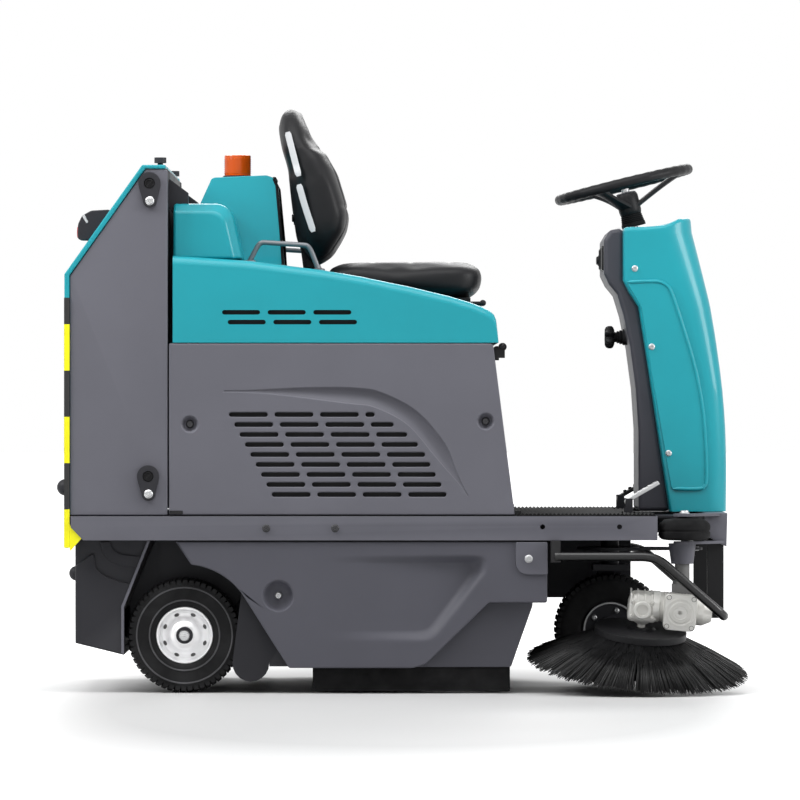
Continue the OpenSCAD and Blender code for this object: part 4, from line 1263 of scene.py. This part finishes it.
ROLLER = [(8.2, 331.3), (36, 331.3), (48, 333), (54.5, 337), (56, 342), (56, 348), (54, 350), (54, 353),
          (56, 355), (56, 363), (54, 368), (47, 374), (44, 376.5), (20, 380), (8.2, 381.6), (8.2, 331.3)]
for side, s in (("right_", -1), ("left_", 1)):
    Shape().turn(ROLLER, posed((616, s * 398, 0)), 64).make(
        side + "corner_roll", RUBBER, side + "corner", stands=side + "roller", angle=40)

star, knob_at = Shape(), posed((0, 0, 775), 90)
star.lobed(knob_at, 20.5, 4.6, 6, 72, ((456, 0.35), (456.4, 0.7), (459, 0.9), (464, 1.0), (471, 1.0),
                                      (475, 0.9), (478, 0.62)))
star.turn([(12, 476), (11, 482), (14, 484), (13, 488), (16, 490), (15, 495), (18, 497), (18, 509),
           (5, 509)], knob_at, 36)
star.make("star_knob", BLACK, "console_knob", stands="control_knob", angle=40)

# CAD nodes that stay: their finish and softened edges

KEPT = {
    "side_rails": (GREY_STEEL, 1.2), "deck_frame": (DARK, 1.0), "front_beam": (GREY_STEEL, 2.0),
    "floor_mat": (RUBBER, 0.5), "front_panel": (GREY, 1.5), "masts": (DARK, 1.5),
    "broom_housing": (DARK, 1.0), "batteries": (BLACK, 4.0), "rear_axles": (DARK, 0.8),
    "suction_fan": (ALLOY, 2.0), "steering_chain": (DARK, 0), "hood_hinges": (BLACK_STEEL, 0.8),
    "seat_rails": (STEEL, 0.6), "seat_pan": (BLACK_STEEL, 1.0), "seat_lever": (BLACK, 0),
    "hopper_cover": (TEAL, 2.5), "hopper_bin": (DARK_PLASTIC, 1.5), "hopper_fittings": (DARK_PLASTIC, 2.0),
    "rear_buffers": (DARK, 0), "filter_panel": (FILTER, 2.0), "steering_shaft": (STEEL, 0),
    "lower_shaft": (STEEL, 0.6), "fork": (DARK, 1.2), "drive_hub": (DARK, 1.2), "lift_rod": (CASTING, 1.0),
    "brush_disc": (BLACK, 2.0), "broom_arms": (GREY_STEEL, 1.0), "broom_core": (DARK_PLASTIC, 1.0),
    "drive_pedal": (STEEL, 1.0), "brake_pedal": (BLACK, 1.0),
}
for node, (mat, edge) in KEPT.items():
    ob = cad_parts[node]
    ob.data.materials.clear()
    ob.data.materials.append(mat)
    modify(ob, "WELD", merge_threshold=0.00002)
    modify(ob, "DECIMATE", decimate_type="DISSOLVE", angle_limit=radians(0.5))
    if edge:
        soften(ob, edge, 2, 40)

# Floor, light and camera


def seen_rays(tree):
    """1 for rays from the camera, from gloss and through glass; 0 for light on the object."""
    path = tree.nodes.new("ShaderNodeLightPath")
    value = path.outputs["Is Camera Ray"]
    for name in ("Is Glossy Ray", "Is Transmission Ray"):
        node = tree.nodes.new("ShaderNodeMath")
        node.operation = "MAXIMUM"
        tree.links.new(value, node.inputs[0])
        tree.links.new(path.outputs[name], node.inputs[1])
        value = node.outputs["Value"]
    return value


def floor_material():
    """White to the camera some way off the object; nearer it the glow fades out over an ellipse, a painted
    shadow round the machine, where the floor is lit and keeps its cast shadow.
    """
    n = Nodes("studio_floor")
    n.feed("Base Color", n.mix(n.noise(3.0), [0.60] * 3, [0.62] * 3))
    n.feed("Roughness", 0.5)
    place = n.add("ShaderNodeVectorMath", operation="MULTIPLY_ADD")
    for k, value in enumerate((n.coord, (0.75, 0.33, 0.0), (0.0, 0.33, 0.0))):
        n.put(value, place.inputs[k])
    away = n.add("ShaderNodeVectorMath", operation="LENGTH")
    n.put(place.outputs["Vector"], away.inputs[0])
    # No glow near the machine: a soft grey ellipse of painted shadow around it.
    glow_outside_painted_shadow = n.ramp(away.outputs["Value"], 0.45, 1.15, 0.0, 1.0)
    n.feed("Emission Color", (1, 1, 1, 1))
    n.feed("Emission Strength", n.math("MULTIPLY", seen_rays(n.tree), glow_outside_painted_shadow))
    return n.mat


ground = bpy.data.meshes.new("floor")
ground.from_pydata([(-40, -30, 0), (40, -30, 0), (40, 60, 0), (-40, 60, 0)], [], [(0, 1, 2, 3)])
ground.materials.append(floor_material())
show("floor", ground)

scene.view_settings.view_transform = "Standard"
scene.world = bpy.data.worlds.new("studio")
scene.world.use_nodes = True
sky = scene.world.node_tree
background = sky.nodes["Background"]
strength = sky.nodes.new("ShaderNodeMapRange")
strength.inputs["To Min"].default_value = 0.27
strength.inputs["To Max"].default_value = 1.0
sky.links.new(seen_rays(sky), strength.inputs["Value"])
sky.links.new(strength.outputs["Result"], background.inputs["Strength"])
background.inputs["Color"].default_value = (1, 1, 1, 1)

for name, place, target, watts, size in (
        ("top", (-0.1, -1.3, 3.2), (0, -0.1, 0.6), 64, (3.0, 2.0)),
        ("key", (-0.6, -3.6, 3.0), (0, -0.2, 0.8), 13, (1.6, 1.6)),
        ("left", (-2.8, -1.3, 2.7), (0, -0.3, 0.5), 76, (1.2, 1.6)),
        ("front", (3.4, -1.4, 1.8), (0.6, 0, 0.7), 66, (1.2, 1.6)),
        ("back", (0.2, 3.4, 2.7), (0, 0, 0.6), 60, (2.4, 1.2))):
    light = bpy.data.lights.new(name, "AREA")
    light.energy = watts
    light.shape = "RECTANGLE"
    light.size, light.size_y = size
    lamp = show(name, light)
    lamp.location = place
    lamp.rotation_euler = (Vector(target) - Vector(place)).to_track_quat("-Z", "Y").to_euler()

CAMERA_AWAY, CAMERA_Z = 13300.0, 635.0
camera = bpy.data.cameras.new("camera")
camera.lens = 277.1
camera.sensor_width = 36.0
camera.clip_end = 200.0
scene.camera = show("camera", camera)
scene.camera.location = at(0, -HALF - CAMERA_AWAY, CAMERA_Z)
scene.camera.rotation_euler = (radians(90), 0, 0)
